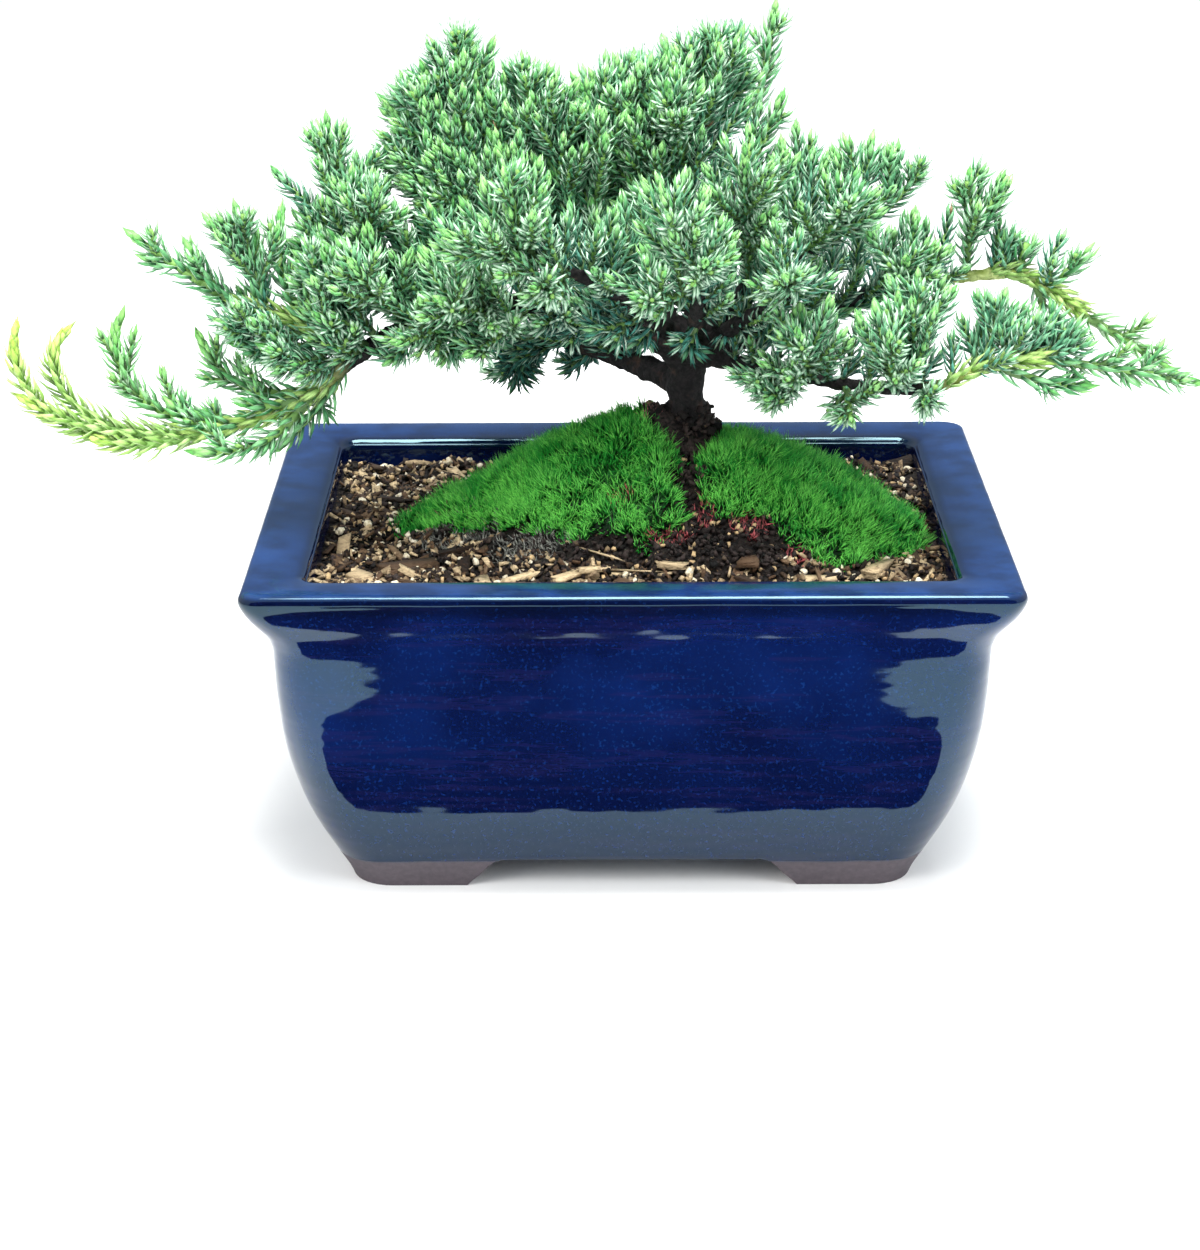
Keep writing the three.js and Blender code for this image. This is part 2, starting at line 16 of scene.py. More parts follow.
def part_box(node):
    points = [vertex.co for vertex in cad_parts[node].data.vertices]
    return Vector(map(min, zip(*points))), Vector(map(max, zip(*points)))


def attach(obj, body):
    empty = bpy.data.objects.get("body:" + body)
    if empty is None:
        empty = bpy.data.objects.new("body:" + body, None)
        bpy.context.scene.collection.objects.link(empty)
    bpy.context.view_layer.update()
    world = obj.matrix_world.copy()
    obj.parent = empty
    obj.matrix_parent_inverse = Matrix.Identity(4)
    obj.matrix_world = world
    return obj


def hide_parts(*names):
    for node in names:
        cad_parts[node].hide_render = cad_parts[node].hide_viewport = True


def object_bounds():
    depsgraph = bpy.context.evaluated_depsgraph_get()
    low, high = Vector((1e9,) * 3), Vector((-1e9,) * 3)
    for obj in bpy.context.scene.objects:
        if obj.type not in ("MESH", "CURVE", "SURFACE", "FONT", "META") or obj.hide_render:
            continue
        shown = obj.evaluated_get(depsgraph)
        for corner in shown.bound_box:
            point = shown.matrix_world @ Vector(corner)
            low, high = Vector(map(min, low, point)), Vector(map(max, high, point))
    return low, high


# The vector noise starts from the clock, unless it is given a seed.
noise.seed_set(1)
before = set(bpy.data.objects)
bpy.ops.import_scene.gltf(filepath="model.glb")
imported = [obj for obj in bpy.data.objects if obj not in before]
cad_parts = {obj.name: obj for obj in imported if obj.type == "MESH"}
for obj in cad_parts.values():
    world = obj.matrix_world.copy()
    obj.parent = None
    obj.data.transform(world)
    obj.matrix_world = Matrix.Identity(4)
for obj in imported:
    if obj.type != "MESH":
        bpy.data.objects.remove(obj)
cad_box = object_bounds()
MM = 0.001
LOW, HIGH = (np.array(corner) for corner in cad_box)
pot_low, pot_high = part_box("pot")
POT_MIDDLE = np.array([(pot_low.x + pot_high.x) / 2, (pot_low.y + pot_high.y) / 2, 0.0])
print("whole object, mm:", (HIGH - LOW).round(4) / MM, "pot's middle, mm:", POT_MIDDLE / MM)


def from_pot(point):
    """A point of the frame, in metres, from mm about the pot's middle."""
    return Vector(point) * MM + Vector(POT_MIDDLE)


def start(operator, **settings):
    """Adds a primitive, a lamp or a camera as the only selected object, and returns it."""
    bpy.ops.object.select_all(action="DESELECT")
    operator(**settings)
    return bpy.context.object


# %% [markdown]
# ## Camera and light
# The photograph looks down on the pot by 20 degrees, from about 0.6 m away. A long lens keeps
# the pot's sides nearly parallel. The floor is white and the light is soft from all around, with
# one large lamp overhead that draws the thin bright line along the pot's lip.

# %% Camera
CAMERA_PLACE = np.array([-5.71, -633.18, 271.78]) * MM + POT_MIDDLE
CAMERA_DOWN = math.radians(19.945)
CAMERA_TURN = math.radians(0.07)
CAMERA_ROLL = math.radians(-0.2)
FOCAL_PIXELS = 3130
IMAGE_WIDTH = 1200
SENSOR = 36.0

camera = start(bpy.ops.object.camera_add, location=CAMERA_PLACE)
camera.data.sensor_fit = "HORIZONTAL"
camera.data.sensor_width = SENSOR
camera.data.lens = SENSOR * FOCAL_PIXELS / IMAGE_WIDTH
camera.data.clip_start = 0.01
aimed = Matrix.Rotation(CAMERA_TURN, 4, "Z") @ Matrix.Rotation(math.pi / 2 - CAMERA_DOWN, 4, "X")
camera.matrix_world = Matrix.Translation(CAMERA_PLACE) @ aimed @ Matrix.Rotation(CAMERA_ROLL, 4, "Z")
bpy.context.scene.camera = camera
bpy.context.scene.view_settings.view_transform = "Standard"
print("lens, mm:", round(camera.data.lens, 1))

# %% [markdown]
# ## Shader maths as Python
# A material is a graph of small nodes. Written out one by one they hide the idea, so a Value
# wraps an output socket and lets us write `1 - mask * 0.5`. Colours never pass through a Math
# node, which would turn them grey: they are mixed with `blend`.

# %% A value in a node graph
class Value:
    """The output of a node, with arithmetic."""

    def __init__(self, finish, socket):
        self.finish = finish
        self.socket = socket

    def maths(self, operation, first, second=0.0):
        settings = {"operation": operation}
        return self.finish.node("ShaderNodeMath", settings, {0: first, 1: second})

    def __add__(self, other):
        return self.maths("ADD", self, other)

    def __sub__(self, other):
        return self.maths("SUBTRACT", self, other)

    def __rsub__(self, other):
        return self.maths("SUBTRACT", other, self)

    def __mul__(self, other):
        return self.maths("MULTIPLY", self, other)

    __radd__ = __add__
    __rmul__ = __mul__

    def at_most(self, other):
        return self.maths("MINIMUM", self, other)

    def at_least(self, other):
        return self.maths("MAXIMUM", self, other)

    def between(self, low, high):
        """0 at low and 1 at high, with a smooth rise."""
        sockets = {"Value": self, "From Min": low, "From Max": high}
        return self.finish.node("ShaderNodeMapRange", {"interpolation_type": "SMOOTHSTEP"}, sockets)


# %% A finish
def colour(shade):
    """A linear colour from the usual six hexadecimal digits. Any other shade passes through."""
    if not isinstance(shade, str):
        return shade
    parts = [int(shade[i : i + 2], 16) / 255 for i in (0, 2, 4)]
    return (*[p / 12.92 if p < 0.04045 else ((p + 0.055) / 1.055) ** 2.4 for p in parts], 1.0)


class Graph:
    """A node graph, and the nodes that feed its shader."""

    def __init__(self, tree, shader):
        self.tree = tree
        self.shader = tree.nodes[shader]

    def node(self, kind, settings=None, sockets=None, output=0):
        """Adds a node, sets it, fills or links its sockets, and returns one of its outputs."""
        made = self.tree.nodes.new(kind)
        for name, value in (settings or {}).items():
            setattr(made, name, value)
        for name, value in (sockets or {}).items():
            if isinstance(value, Value):
                self.tree.links.new(value.socket, made.inputs[name])
            else:
                made.inputs[name].default_value = value
        return Value(self, made.outputs[output])

    def part(self, vector, axis):
        """One of a vector's three numbers, by its place from 0."""
        return self.node("ShaderNodeSeparateXYZ", None, {"Vector": vector}, output=axis)

    def blend(self, mask, low, high):
        """The colour low where mask is 0, and high where it is 1."""
        sockets = {0: mask, 6: colour(low), 7: colour(high)}
        return self.node("ShaderNodeMix", {"data_type": "RGBA"}, sockets, output=2)

    def paint(self, mask, low, high):
        """A blend as the base colour."""
        self.feed(Base_Color=self.blend(mask, low, high))

    def feed(self, **inputs):
        """Links values to the shader's sockets, by name."""
        for name, value in inputs.items():
            self.tree.links.new(value.socket, self.shader.inputs[name.replace("_", " ")])


class Finish(Graph):
    """A material. Its other settings, which never vary, are given by name."""

    def __init__(self, name, **constants):
        self.material = bpy.data.materials.new(name)
        self.material.use_nodes = True
        super().__init__(self.material.node_tree, "Principled BSDF")
        for socket, value in constants.items():
            self.shader.inputs[socket.replace("_", " ")].default_value = value

    def place(self, stretch=(1, 1, 1)):
        """The point on the object, in metres, stretched along each axis."""
        point = self.node("ShaderNodeTexCoord", output=3)
        return self.node("ShaderNodeMapping", None, {"Vector": point, "Scale": stretch})

    def needle_map(self):
        """The map that says where on a needle or stem a point lies."""
        return self.node("ShaderNodeUVMap", {"uv_map": "needle"})

    def noise(self, size, detail=3.0, stretch=(1, 1, 1), roughness=0.55):
        """Soft noise from 0 to 1 whose patches are about size metres wide."""
        sockets = {"Vector": self.place(stretch), "Scale": 1 / size, "Detail": detail}
        return self.node("ShaderNodeTexNoise", None, {**sockets, "Roughness": roughness})

    def cells(self, size, stretch=(1, 1, 1)):
        """Rounded cells about size metres wide: 0 at each one's middle."""
        sockets = {"Vector": self.place(stretch), "Scale": 1 / size}
        return self.node("ShaderNodeTexVoronoi", None, sockets)

    def tag(self, name):
        """A number stored on the mesh."""
        return self.node("ShaderNodeAttribute", {"attribute_name": name}, output=2)

    def bump(self, height, distance, strength=1.0):
        """Relief that is distance metres deep."""
        sockets = {"Height": height, "Distance": distance, "Strength": strength}
        self.feed(Normal=self.node("ShaderNodeBump", None, sockets))


# %% [markdown]
# ## The studio
# A white floor runs past the edges of the picture. A glossy pot is a mirror, so the studio is
# also made for what the glaze sees. A dark card lies on the floor in front of the pot, where
# only reflections find it: it keeps the front face deep blue, and the white floor beside it
# gives the pale patches at the two corners and along the foot.

# %% Floor
FLOOR_SIZE = 9.0
floor = start(bpy.ops.mesh.primitive_plane_add, size=FLOOR_SIZE)
floor.name = "studio_floor"
paper = Finish("white paper", Roughness=0.9)
paper.paint(paper.noise(0.4), "f4f6f7", "fafafa")
floor.data.materials.append(paper.material)

# %% Dark cards
felt = Finish("dark felt", Roughness=1.0)
felt.paint(felt.noise(0.02), "0a0608", "140c0e")


def dark_card(name, outline):
    """A flat card that only reflections find. Its outline is in mm from the pot's middle."""
    card = start(bpy.ops.mesh.primitive_circle_add, vertices=len(outline), fill_type="NGON")
    card.name = name
    for vertex, place in zip(card.data.vertices, outline):
        vertex.co = from_pot(place)
    card.visible_camera = False
    card.visible_diffuse = False
    card.visible_shadow = False
    card.data.materials.append(felt.material)


# The floor card from the pot outwards: each distance in front, and half its width there.
CARD_EDGE = [
    (62.5, 56), (66, 69), (74, 80), (86, 86), (104, 84), (124, 75), (140, 68), (160, 66), (175, 70),
    (200, 82), (240, 90), (300, 92),
]
CARD_LIFT = 0.5
right_edge = [(wide, -far, CARD_LIFT) for far, wide in CARD_EDGE]
dark_card("studio_floor_card", right_edge + [(-x, y, z) for x, y, z in reversed(right_edge)])
# The dark room behind the camera: an upright card.
ROOM_SIDE, ROOM_FRONT, ROOM_FOOT, ROOM_TOP = 1600, -1300, 25, 1500
room_corners = [(-1, ROOM_FOOT), (1, ROOM_FOOT), (1, ROOM_TOP), (-1, ROOM_TOP)]
dark_card("studio_room_card", [(side * ROOM_SIDE, ROOM_FRONT, up) for side, up in room_corners])

# %% World and lamps
# The sky lights everything softly, and it is what the rim reflects: bright overhead, and a
# dimmer blue behind the pot near the horizon.
world = bpy.data.worlds.new("soft daylight")
bpy.context.scene.world = world
world.use_nodes = True
sky = Graph(world.node_tree, "Background")
behind = sky.part(sky.node("ShaderNodeTexCoord"), 1).between(0.55, 0.95)
sky.feed(Color=sky.blend(behind, (0.95, 0.98, 1.0, 1.0), (0.28, 0.4, 0.6, 1.0)))
SKY_STRENGTH = 0.85
sky.shader.inputs["Strength"].default_value = SKY_STRENGTH

# The lamps look at the tree's middle. Only the one overhead is seen in the glaze.
# Each lamp: its name, where it hangs from the pot's middle, its size, power, and colour.
AIMED_AT = (0, 0, 0.09)
LAMPS = [
    ("overhead", (0.05, -0.12, 0.95), 0.44, 15.0, (1.0, 0.99, 0.96)),
    ("front left", (-0.75, -0.85, 0.75), 0.6, 12.0, (1.0, 0.98, 0.95)),
    ("front right", (0.85, -0.7, 0.6), 0.6, 8.0, (0.97, 0.99, 1.0)),
]
for name, place, size, power, shade in LAMPS:
    spot = Vector(place) + Vector(POT_MIDDLE)
    lamp = start(bpy.ops.object.light_add, type="AREA", location=spot)
    lamp.name = "lamp " + name
    lamp.data.size = size
    lamp.data.energy = power
    lamp.data.color = shade
    lamp.visible_glossy = name == "overhead"
    aim = Vector(POT_MIDDLE) + Vector(AIMED_AT) - lamp.location
    lamp.rotation_euler = aim.to_track_quat("-Z", "Y").to_euler()
print("lamps:", len(LAMPS))

# %% [markdown]
# ## Making and copying
# The tree has tens of thousands of needles. Each kind of small thing is modelled once, by hand
# tools, and read into a Pattern. A Pile then holds thousands of turned and scaled copies of a
# few patterns, and becomes one mesh. Numbers stored with each copy, such as how old a needle
# is, end up on the mesh for its material to read.

# %% Tools for every piece
def edit_all():
    """Enters edit mode, with the whole mesh selected."""
    bpy.ops.object.mode_set(mode="EDIT")
    bpy.ops.mesh.select_all(action="SELECT")


def close_edit():
    """Turns every face outwards, and leaves edit mode."""
    bpy.ops.mesh.select_all(action="SELECT")
    bpy.ops.mesh.normals_make_consistent(inside=False)
    bpy.ops.object.mode_set(mode="OBJECT")


def extrude(operator, x, y, z):
    """Extrudes what is selected by a step in metres."""
    operator(TRANSFORM_OT_translate={"value": (x, y, z)})


def apply_modifiers(piece):
    """Applies a piece's modifiers in their order."""
    bpy.ops.object.select_all(action="DESELECT")
    piece.select_set(True)
    bpy.context.view_layer.objects.active = piece
    for modifier in list(piece.modifiers):
        bpy.ops.object.modifier_apply(modifier=modifier.name)


def store(mesh, name, values):
    """Keeps a number with each point of a mesh, for its material to read."""
    mesh.attributes.new(name, "FLOAT", "POINT").data.foreach_set("value", values)


def dress(piece, name, finish, slot, *nodes):
    """Names a finished piece, gives it its material, and sets it in the frame."""
    piece.name = name
    piece.data.materials.clear()
    piece.data.materials.append(finish.material)
    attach(piece, "root")
    if nodes:
        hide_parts(*nodes)
    print(name, len(piece.data.polygons), "faces")


# %% Patterns and piles
class Pattern:
    """One small shape, as arrays: points, corners, faces and the map's places."""

    def __init__(self, piece):
        mesh = piece.data
        self.points = np.array([vertex.co for vertex in mesh.vertices])
        self.corners = np.array([loop.vertex_index for loop in mesh.loops])
        self.sizes = np.array([face.loop_total for face in mesh.polygons])
        self.map = np.array([spot.uv for spot in mesh.uv_layers.active.data])
        bpy.data.objects.remove(piece)


class Pile:
    """Copies of patterns that will be one mesh."""

    def __init__(self):
        self.points, self.corners, self.sizes, self.map = [], [], [], []
        self.tags = {}
        self.count = 0

    def add(self, pattern, places, axes, **tags):
        """Adds copies. axes[i] holds copy i's own x, y and z axes as columns, with its scale. A
        tag is a number for each copy or for all, and 0 on the copies that were given none."""
        if not len(places):
            return
        copies, points = len(places), len(pattern.points)
        placed = np.einsum("cij,pj->cpi", axes, pattern.points) + places[:, None, :]
        starts = self.count + points * np.arange(copies)
        self.points.append(placed.reshape(-1, 3))
        self.corners.append((pattern.corners[None, :] + starts[:, None]).ravel())
        self.sizes.append(np.tile(pattern.sizes, copies))
        self.map.append(np.tile(pattern.map, (copies, 1)))
        for name, values in tags.items():
            given = self.tags.setdefault(name, [])
            missing = self.count - sum(len(g) for g in given)
            given.append(np.zeros(missing))
            given.append(np.repeat(np.broadcast_to(values, copies), points))
        self.count += copies * points

    def make(self, name):
        """One mesh of all the copies, kept inside the CAD model's box."""
        points = np.clip(np.concatenate(self.points), LOW, HIGH)
        corners = np.concatenate(self.corners)
        sizes = np.concatenate(self.sizes)
        mesh = bpy.data.meshes.new(name)
        mesh.vertices.add(len(points))
        mesh.vertices.foreach_set("co", points.ravel())
        mesh.loops.add(len(corners))
        mesh.loops.foreach_set("vertex_index", corners)
        mesh.polygons.add(len(sizes))
        mesh.polygons.foreach_set("loop_start", np.concatenate([[0], np.cumsum(sizes)[:-1]]))
        mesh.uv_layers.new(name="needle").data.foreach_set("uv", np.concatenate(self.map).ravel())
        for tag, parts in self.tags.items():
            values = np.concatenate(parts)
            store(mesh, tag, np.concatenate([values, np.zeros(len(points) - len(values))]))
        mesh.update(calc_edges=True)
        mesh.validate()
        piece = bpy.data.objects.new(name, mesh)
        bpy.context.scene.collection.objects.link(piece)
        return piece


# %% Chance and directions
def draw(i, j):
    """A fixed draw from 0 to 1 for two whole numbers, as the CAD source makes it."""
    s = math.sin(i * 12.9898 + j * 78.233) * 43758.5453
    return s - math.floor(s)


def unit(v):
    """Vectors of length 1."""
    return v / np.maximum(np.linalg.norm(v, axis=-1, keepdims=True), 1e-12)


# Every draw comes from rng, which is only ever started from a seed, so all runs are the same.
def turned_axes(up, scales):
    """Axes whose z is up, turned at random about it, with the given scales as columns."""
    up = unit(up)
    side = unit(np.cross(up, unit(rng.normal(size=up.shape))))
    axes = np.stack([side, np.cross(up, side), up], axis=-1)
    return axes * scales[:, None, :]


# %% [markdown]
# ## The pot
# The real pot is pressed stoneware under a deep cobalt glaze, with a rolled lip, a soft step
# below it, a belly that rounds in towards the foot, and four bare clay feet. Scaling one outline
# would also scale its corners, and here the corners are tighter at the lip than at the belly. So
# we extrude ring after ring by hand, and give each ring its own inset and corner radius.

# %% The pot's measures
POT_WIDTH = (pot_high.x - pot_low.x) / MM
POT_DEPTH = (pot_high.y - pot_low.y) / MM
# Each ring: inset from the lip's edge, height, corner radius, in mm. The outside goes from the
# foot up to the lip, and the inside goes on from there, down to the pot's floor.
OUTSIDE = [
    (19.2, 0, 8.5), (18.9, 0.8, 8.6), (18.1, 2.8, 9), (15.9, 7.2, 9.5), (13.1, 12.8, 10.5),
    (10.6, 18.6, 11.5), (8.8, 24.2, 12), (7.3, 30.4, 12), (6.2, 37.3, 11.5), (5.6, 45, 10.5),
    (5.45, 51, 9.5), (5.35, 54.2, 9), (5.0, 56.4, 8.5), (4.1, 59, 7.5), (2.7, 61.4, 6.5),
    (1.3, 63.9, 5.5), (0.35, 66.4, 4.5), (0, 68, 4.2), (0.25, 69, 4.2), (0.9, 69.7, 4.2),
    (1.9, 70, 4.2),
]
INSIDE = [
    (6, 69.8, 4.2), (10.2, 69.5, 4.5), (11.6, 68.9, 4.4), (12.3, 68, 4.2), (12.7, 66.5, 4),
    (12.9, 55, 4), (14.4, 33, 4.5), (17.8, 18, 5), (22, 12, 6),
]
FOOT_HEIGHT = 7.2
FOOT_GAP_X = 55
FOOT_GAP_Y = 38
CORNER_STEPS = 9


def pot_ring(inset, height, radius):
    """The rounded rectangle of one ring, in metres."""
    half_x, half_y = POT_WIDTH / 2 - inset - radius, POT_DEPTH / 2 - inset - radius
    ring = []
    for corner, (right, back) in enumerate([(1, 1), (-1, 1), (-1, -1), (1, -1)]):
        for step in range(CORNER_STEPS + 1):
            angle = (corner + step / CORNER_STEPS) * math.pi / 2
            x = right * half_x + radius * math.cos(angle)
            y = back * half_y + radius * math.sin(angle)
            ring.append((x, y, height))
    return np.array(ring) * MM + POT_MIDDLE


def softened(rings):
    """The profile with a point added between each pair, on a smooth curve through them."""
    rings = np.array(rings, float)
    padded = [rings[0], *rings, rings[-1]]
    out = []
    for p0, p1, p2, p3 in zip(padded, padded[1:], padded[2:], padded[3:]):
        for t in (0, 0.5):
            bend = (2 * p0 - 5 * p1 + 4 * p2 - p3) * t**2 + (3 * p1 - p0 - 3 * p2 + p3) * t**3
            out.append(p1 + 0.5 * ((p2 - p0) * t + bend))
    return [*out, rings[-1]]


# %% Extrude the pot ring by ring
profile = softened(OUTSIDE) + softened(INSIDE)
corner_points = 4 * (CORNER_STEPS + 1)
pot = start(bpy.ops.mesh.primitive_circle_add, vertices=corner_points, radius=0.05, fill_type="NGON")
edit_all()
pot_mesh = bmesh.from_edit_mesh(pot.data)
# Each point keeps its number through all the extrusions, so the ring knows where it goes.
mark = pot_mesh.verts.layers.int.new("mark")
for k, vertex in enumerate(pot_mesh.verts):
    vertex[mark] = k
for i, (inset, height, radius) in enumerate(profile):
    if i:
        extrude(bpy.ops.mesh.extrude_region_move, 0, 0, MM)
    pot_mesh = bmesh.from_edit_mesh(pot.data)
    mark = pot_mesh.verts.layers.int["mark"]
    ring = pot_ring(inset, height, radius)
    for vertex in pot_mesh.verts:
        if vertex.select:
            vertex.co = ring[vertex[mark]]
    bmesh.update_edit_mesh(pot.data)
close_edit()
print("pot:", len(pot.data.vertices), "points on", len(profile), "rings")

# %% Cut the feet free
# Two bars with flared ends cross under the pot. What they leave standing is the four feet.
CHANNEL = [(7, -1), (6.6, 0), (5.6, 1.2), (3.6, 3.2), (2.2, 5.2), (0.8, 6.6), (-1, FOOT_HEIGHT)]


def channel(gap, turn):
    """A bar as wide as the gap between two feet, which lies under the pot at a turn."""
    side = [(gap / 2 + out, up) for out, up in CHANNEL]
    outline = side + [(-x, z) for x, z in reversed(side)]
    bar = start(bpy.ops.mesh.primitive_circle_add, vertices=len(outline), fill_type="NGON")
    for vertex, (x, z) in zip(bar.data.vertices, outline):
        vertex.co = Vector((x * MM, -POT_WIDTH * MM, z * MM))
    edit_all()
    extrude(bpy.ops.mesh.extrude_region_move, 0, 2 * POT_WIDTH * MM, 0)
    close_edit()
    bar.matrix_world = Matrix.Translation(POT_MIDDLE) @ Matrix.Rotation(turn, 4, "Z")
    bpy.context.view_layer.update()
    return bar


DRAIN_RADIUS = 8
DRILL_LENGTH = 40
EDGE_ROUNDING = 0.7
drill = start(
    bpy.ops.mesh.primitive_cylinder_add,
    vertices=48,
    radius=DRAIN_RADIUS * MM,
    depth=DRILL_LENGTH * MM,
    location=POT_MIDDLE,
)
for tool in (channel(FOOT_GAP_X, 0), channel(FOOT_GAP_Y, math.pi / 2), drill):
    cut = pot.modifiers.new("cut", "BOOLEAN")
    cut.operation = "DIFFERENCE"
    cut.object = tool
    apply_modifiers(pot)
    bpy.data.objects.remove(tool)
rounding = pot.modifiers.new("rounding", "BEVEL")
rounding.width = EDGE_ROUNDING * MM
rounding.segments = 2
rounding.limit_method = "ANGLE"
rounding.angle_limit = math.radians(38)
apply_modifiers(pot)
bpy.ops.object.shade_smooth_by_angle(angle=math.radians(40))

# %% [markdown]
# ### Glaze
# The glaze is glassy, so it is nearly black-blue where it is thick, and it breaks to a lighter
# blue with fine speckles where the heat thinned it. Faint plum streaks run level round the
# belly. Below a wavy line the clay is bare. One material holds both, and a mask of height
# decides between them.

# %% The pot's finish
GLAZE_LINE = 7.0 * MM
glaze = Finish("cobalt glaze", IOR=1.56, Specular_Tint=(0.5, 0.84, 0.95, 1.0))
level = glaze.part(glaze.place(), 2)
wander = glaze.noise(0.02) * (1.6 * MM)
bare = 1 - (level + wander).between(GLAZE_LINE, GLAZE_LINE + 0.9 * MM)
thin = level.between(68.8 * MM, 70 * MM)
# Below the lip's crest the glaze is darker: partly where it runs thin, partly a painted reflection
# of the dark room in front.
edge = level.between(64.5 * MM, 67 * MM) * (1 - thin)
pool = glaze.noise(0.028, 5.0)
thick = pool.between(0.3, 0.75) * level.between(15 * MM, 50 * MM)
deep = glaze.blend(thick, "02082a", "051646")
speck = glaze.noise(0.0007, 2.0).between(0.56, 0.74)
speckled = glaze.blend(speck * 0.32, deep, "12387a")
ribbon = glaze.noise(0.03, 4.0, (0.7, 0.7, 9), 0.7)
streak = ribbon.between(0.53, 0.58) * (1 - ribbon.between(0.59, 0.64))
streaked = glaze.blend(streak * 0.22, speckled, "1e1a44")
mottle = glaze.blend(glaze.noise(0.008, 3.0).between(0.35, 0.65), "102248", "1a3568")
rim = glaze.blend(thin * 0.85, streaked, mottle)
lip = glaze.blend(edge * 0.6, rim, "020514")
clay = glaze.blend(glaze.noise(0.0012), "5e5358", "42383d")
glaze.feed(Base_Color=glaze.blend(bare, lip, clay), Roughness=0.06 + bare * 0.8 + thin * 0.1)
flow = glaze.noise(0.014, 2.0, (0.6, 0.6, 1.6)) * 0.8
glaze.bump(flow + glaze.noise(0.0016, 1.0) * (0.005 + bare * 0.2), 0.0009, 0.5)
dress(pot, "glazed_pot", glaze, "pot_glaze", "pot")

# %% The screen over the drain hole
# It lies hidden under the soil, so its CAD shape stays, with a matt black finish of its own.
mesh_plastic = Finish("black mesh plastic", Roughness=0.7)
dusty = mesh_plastic.blend(mesh_plastic.noise(0.002), "141414", "262626")
mesh_plastic.feed(Base_Color=dusty)
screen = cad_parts["drain_screen"]
screen.data.materials.clear()
screen.data.materials.append(mesh_plastic.material)

# %% [markdown]
# ## The soil
# The bed is a level fill with a mound under the trunk, in the same formula as the CAD soil.
# A grid takes that height, with small lumps, and its rim is then extruded down to make a
# block. The look of potting mix comes from what lies on it: bark chips, splinters, perlite
# and fines, each modelled a few times and scattered.

# %% Height of the soil
SOIL_LEVEL = 63.5
# The mound's middle and height, how far it reaches each way, and how hollow its left flank is.
MOUND_X, MOUND_Y, MOUND_HEIGHT = 4, 0, 27
MOUND_LEFT, MOUND_RIGHT, MOUND_FRONT, MOUND_BACK = 56, 60, 42, 38
MOUND_HOLLOW = 1.3
WALL = 12.7
SOIL_HALF_X = POT_WIDTH / 2 - WALL
SOIL_HALF_Y = POT_DEPTH / 2 - WALL


def ground(x, y):
    """The soil's height in mm over points in mm from the pot's middle."""
    dx = (x - MOUND_X) / np.where(x < MOUND_X, MOUND_LEFT, MOUND_RIGHT)
    dy = (y - MOUND_Y) / np.where(y < MOUND_Y, MOUND_FRONT, MOUND_BACK)
    flank = np.where(x < MOUND_X, MOUND_HOLLOW, 1.0)
    cone = MOUND_HEIGHT * np.maximum(0, 1 - np.hypot(dx, dy)) ** flank
    lumps = 0.7 * np.sin(0.55 * x + 1.3) * np.sin(0.62 * y + 0.4)
    return SOIL_LEVEL + cone + lumps + 0.6 * np.sin(0.21 * x - 0.33 * y)


def slope(x, y, height=ground):
    """The direction that the ground faces, from its height on both sides of each point."""
    gap = 0.5
    dx = (height(x + gap, y) - height(x - gap, y)) / (2 * gap)
    dy = (height(x, y + gap) - height(x, y - gap)) / (2 * gap)
    return unit(np.stack([-dx, -dy, np.ones_like(dx)], axis=-1))


def in_frame(x, y, z):
    """Points in the frame, in metres, from arrays of mm about the pot's middle."""
    return np.stack([x, y, z], axis=-1) * MM + POT_MIDDLE


def cloud(x, y, fineness, layer, kind=noise.noise):
    """Soft noise over the ground. A higher fineness gives smaller patches."""
    return np.array([kind(Vector((a * fineness, b * fineness, layer))) for a, b in zip(x, y)])


# %% The soil bed
# Its skirt goes down in two steps, which pull in as the pot's walls do.
SOIL_FLOOR = 13.0
SKIRT_DROP = 30.0
SOIL_GRIT = 0.9
soil = start(bpy.ops.mesh.primitive_grid_add, x_subdivisions=112, y_subdivisions=86, size=2)
flat = np.array([vertex.co for vertex in soil.data.vertices])
sx, sy = flat[:, 0] * SOIL_HALF_X, flat[:, 1] * SOIL_HALF_Y
grit = cloud(sx, sy, 0.35, 3.0, lambda place: noise.fractal(place, 1.0, 2.0, 4))
surface = in_frame(sx, sy, ground(sx, sy) + SOIL_GRIT * grit - 0.2)
soil.data.vertices.foreach_set("co", surface.ravel())
edit_all()
bpy.ops.mesh.region_to_loop()
for drop, inset in ((-SKIRT_DROP, 1.0), (SOIL_FLOOR - SOIL_LEVEL + SKIRT_DROP, 0.9)):
    extrude(bpy.ops.mesh.extrude_edges_move, 0, 0, drop * MM)
    bpy.ops.transform.resize(value=(inset, inset, 1), center_override=POT_MIDDLE)
bpy.ops.mesh.edge_face_add()
close_edit()

mix = Finish("potting mix", Roughness=0.95)
grain = mix.noise(0.0012, 4.0)
peat = mix.blend(grain.between(0.35, 0.6), "060506", "1d1613")
mix.paint(mix.noise(0.0006, 2.0).between(0.66, 0.72), peat, "5a4633")
mix.bump(grain + mix.cells(0.0011) * 0.5, 0.0011)
dress(soil, "soil_bed", mix, "soil", "soil")

# %% [markdown]
# ### Moss outlines
# The moss and the litter share one question, which is how far a point lies from the middle of
# each cushion. A cushion's edge is given by its reach in sixteen directions, eased between them.

# %% Where the moss is
# Each cushion: its middle, then its reaches in mm, from the right round by the back.
MOSS = {
    "moss_left": (
        -18, -2, [22, 21.5, 20, 18.5, 18, 19, 21, 26.5, 31.5, 23, 17, 17.5, 20, 27.5, 37, 30],
    ),
    "moss_right": (34, -5, [28, 26, 23, 21, 20, 20, 19, 17, 16, 21, 25, 18, 22, 26, 25, 27.5]),
}


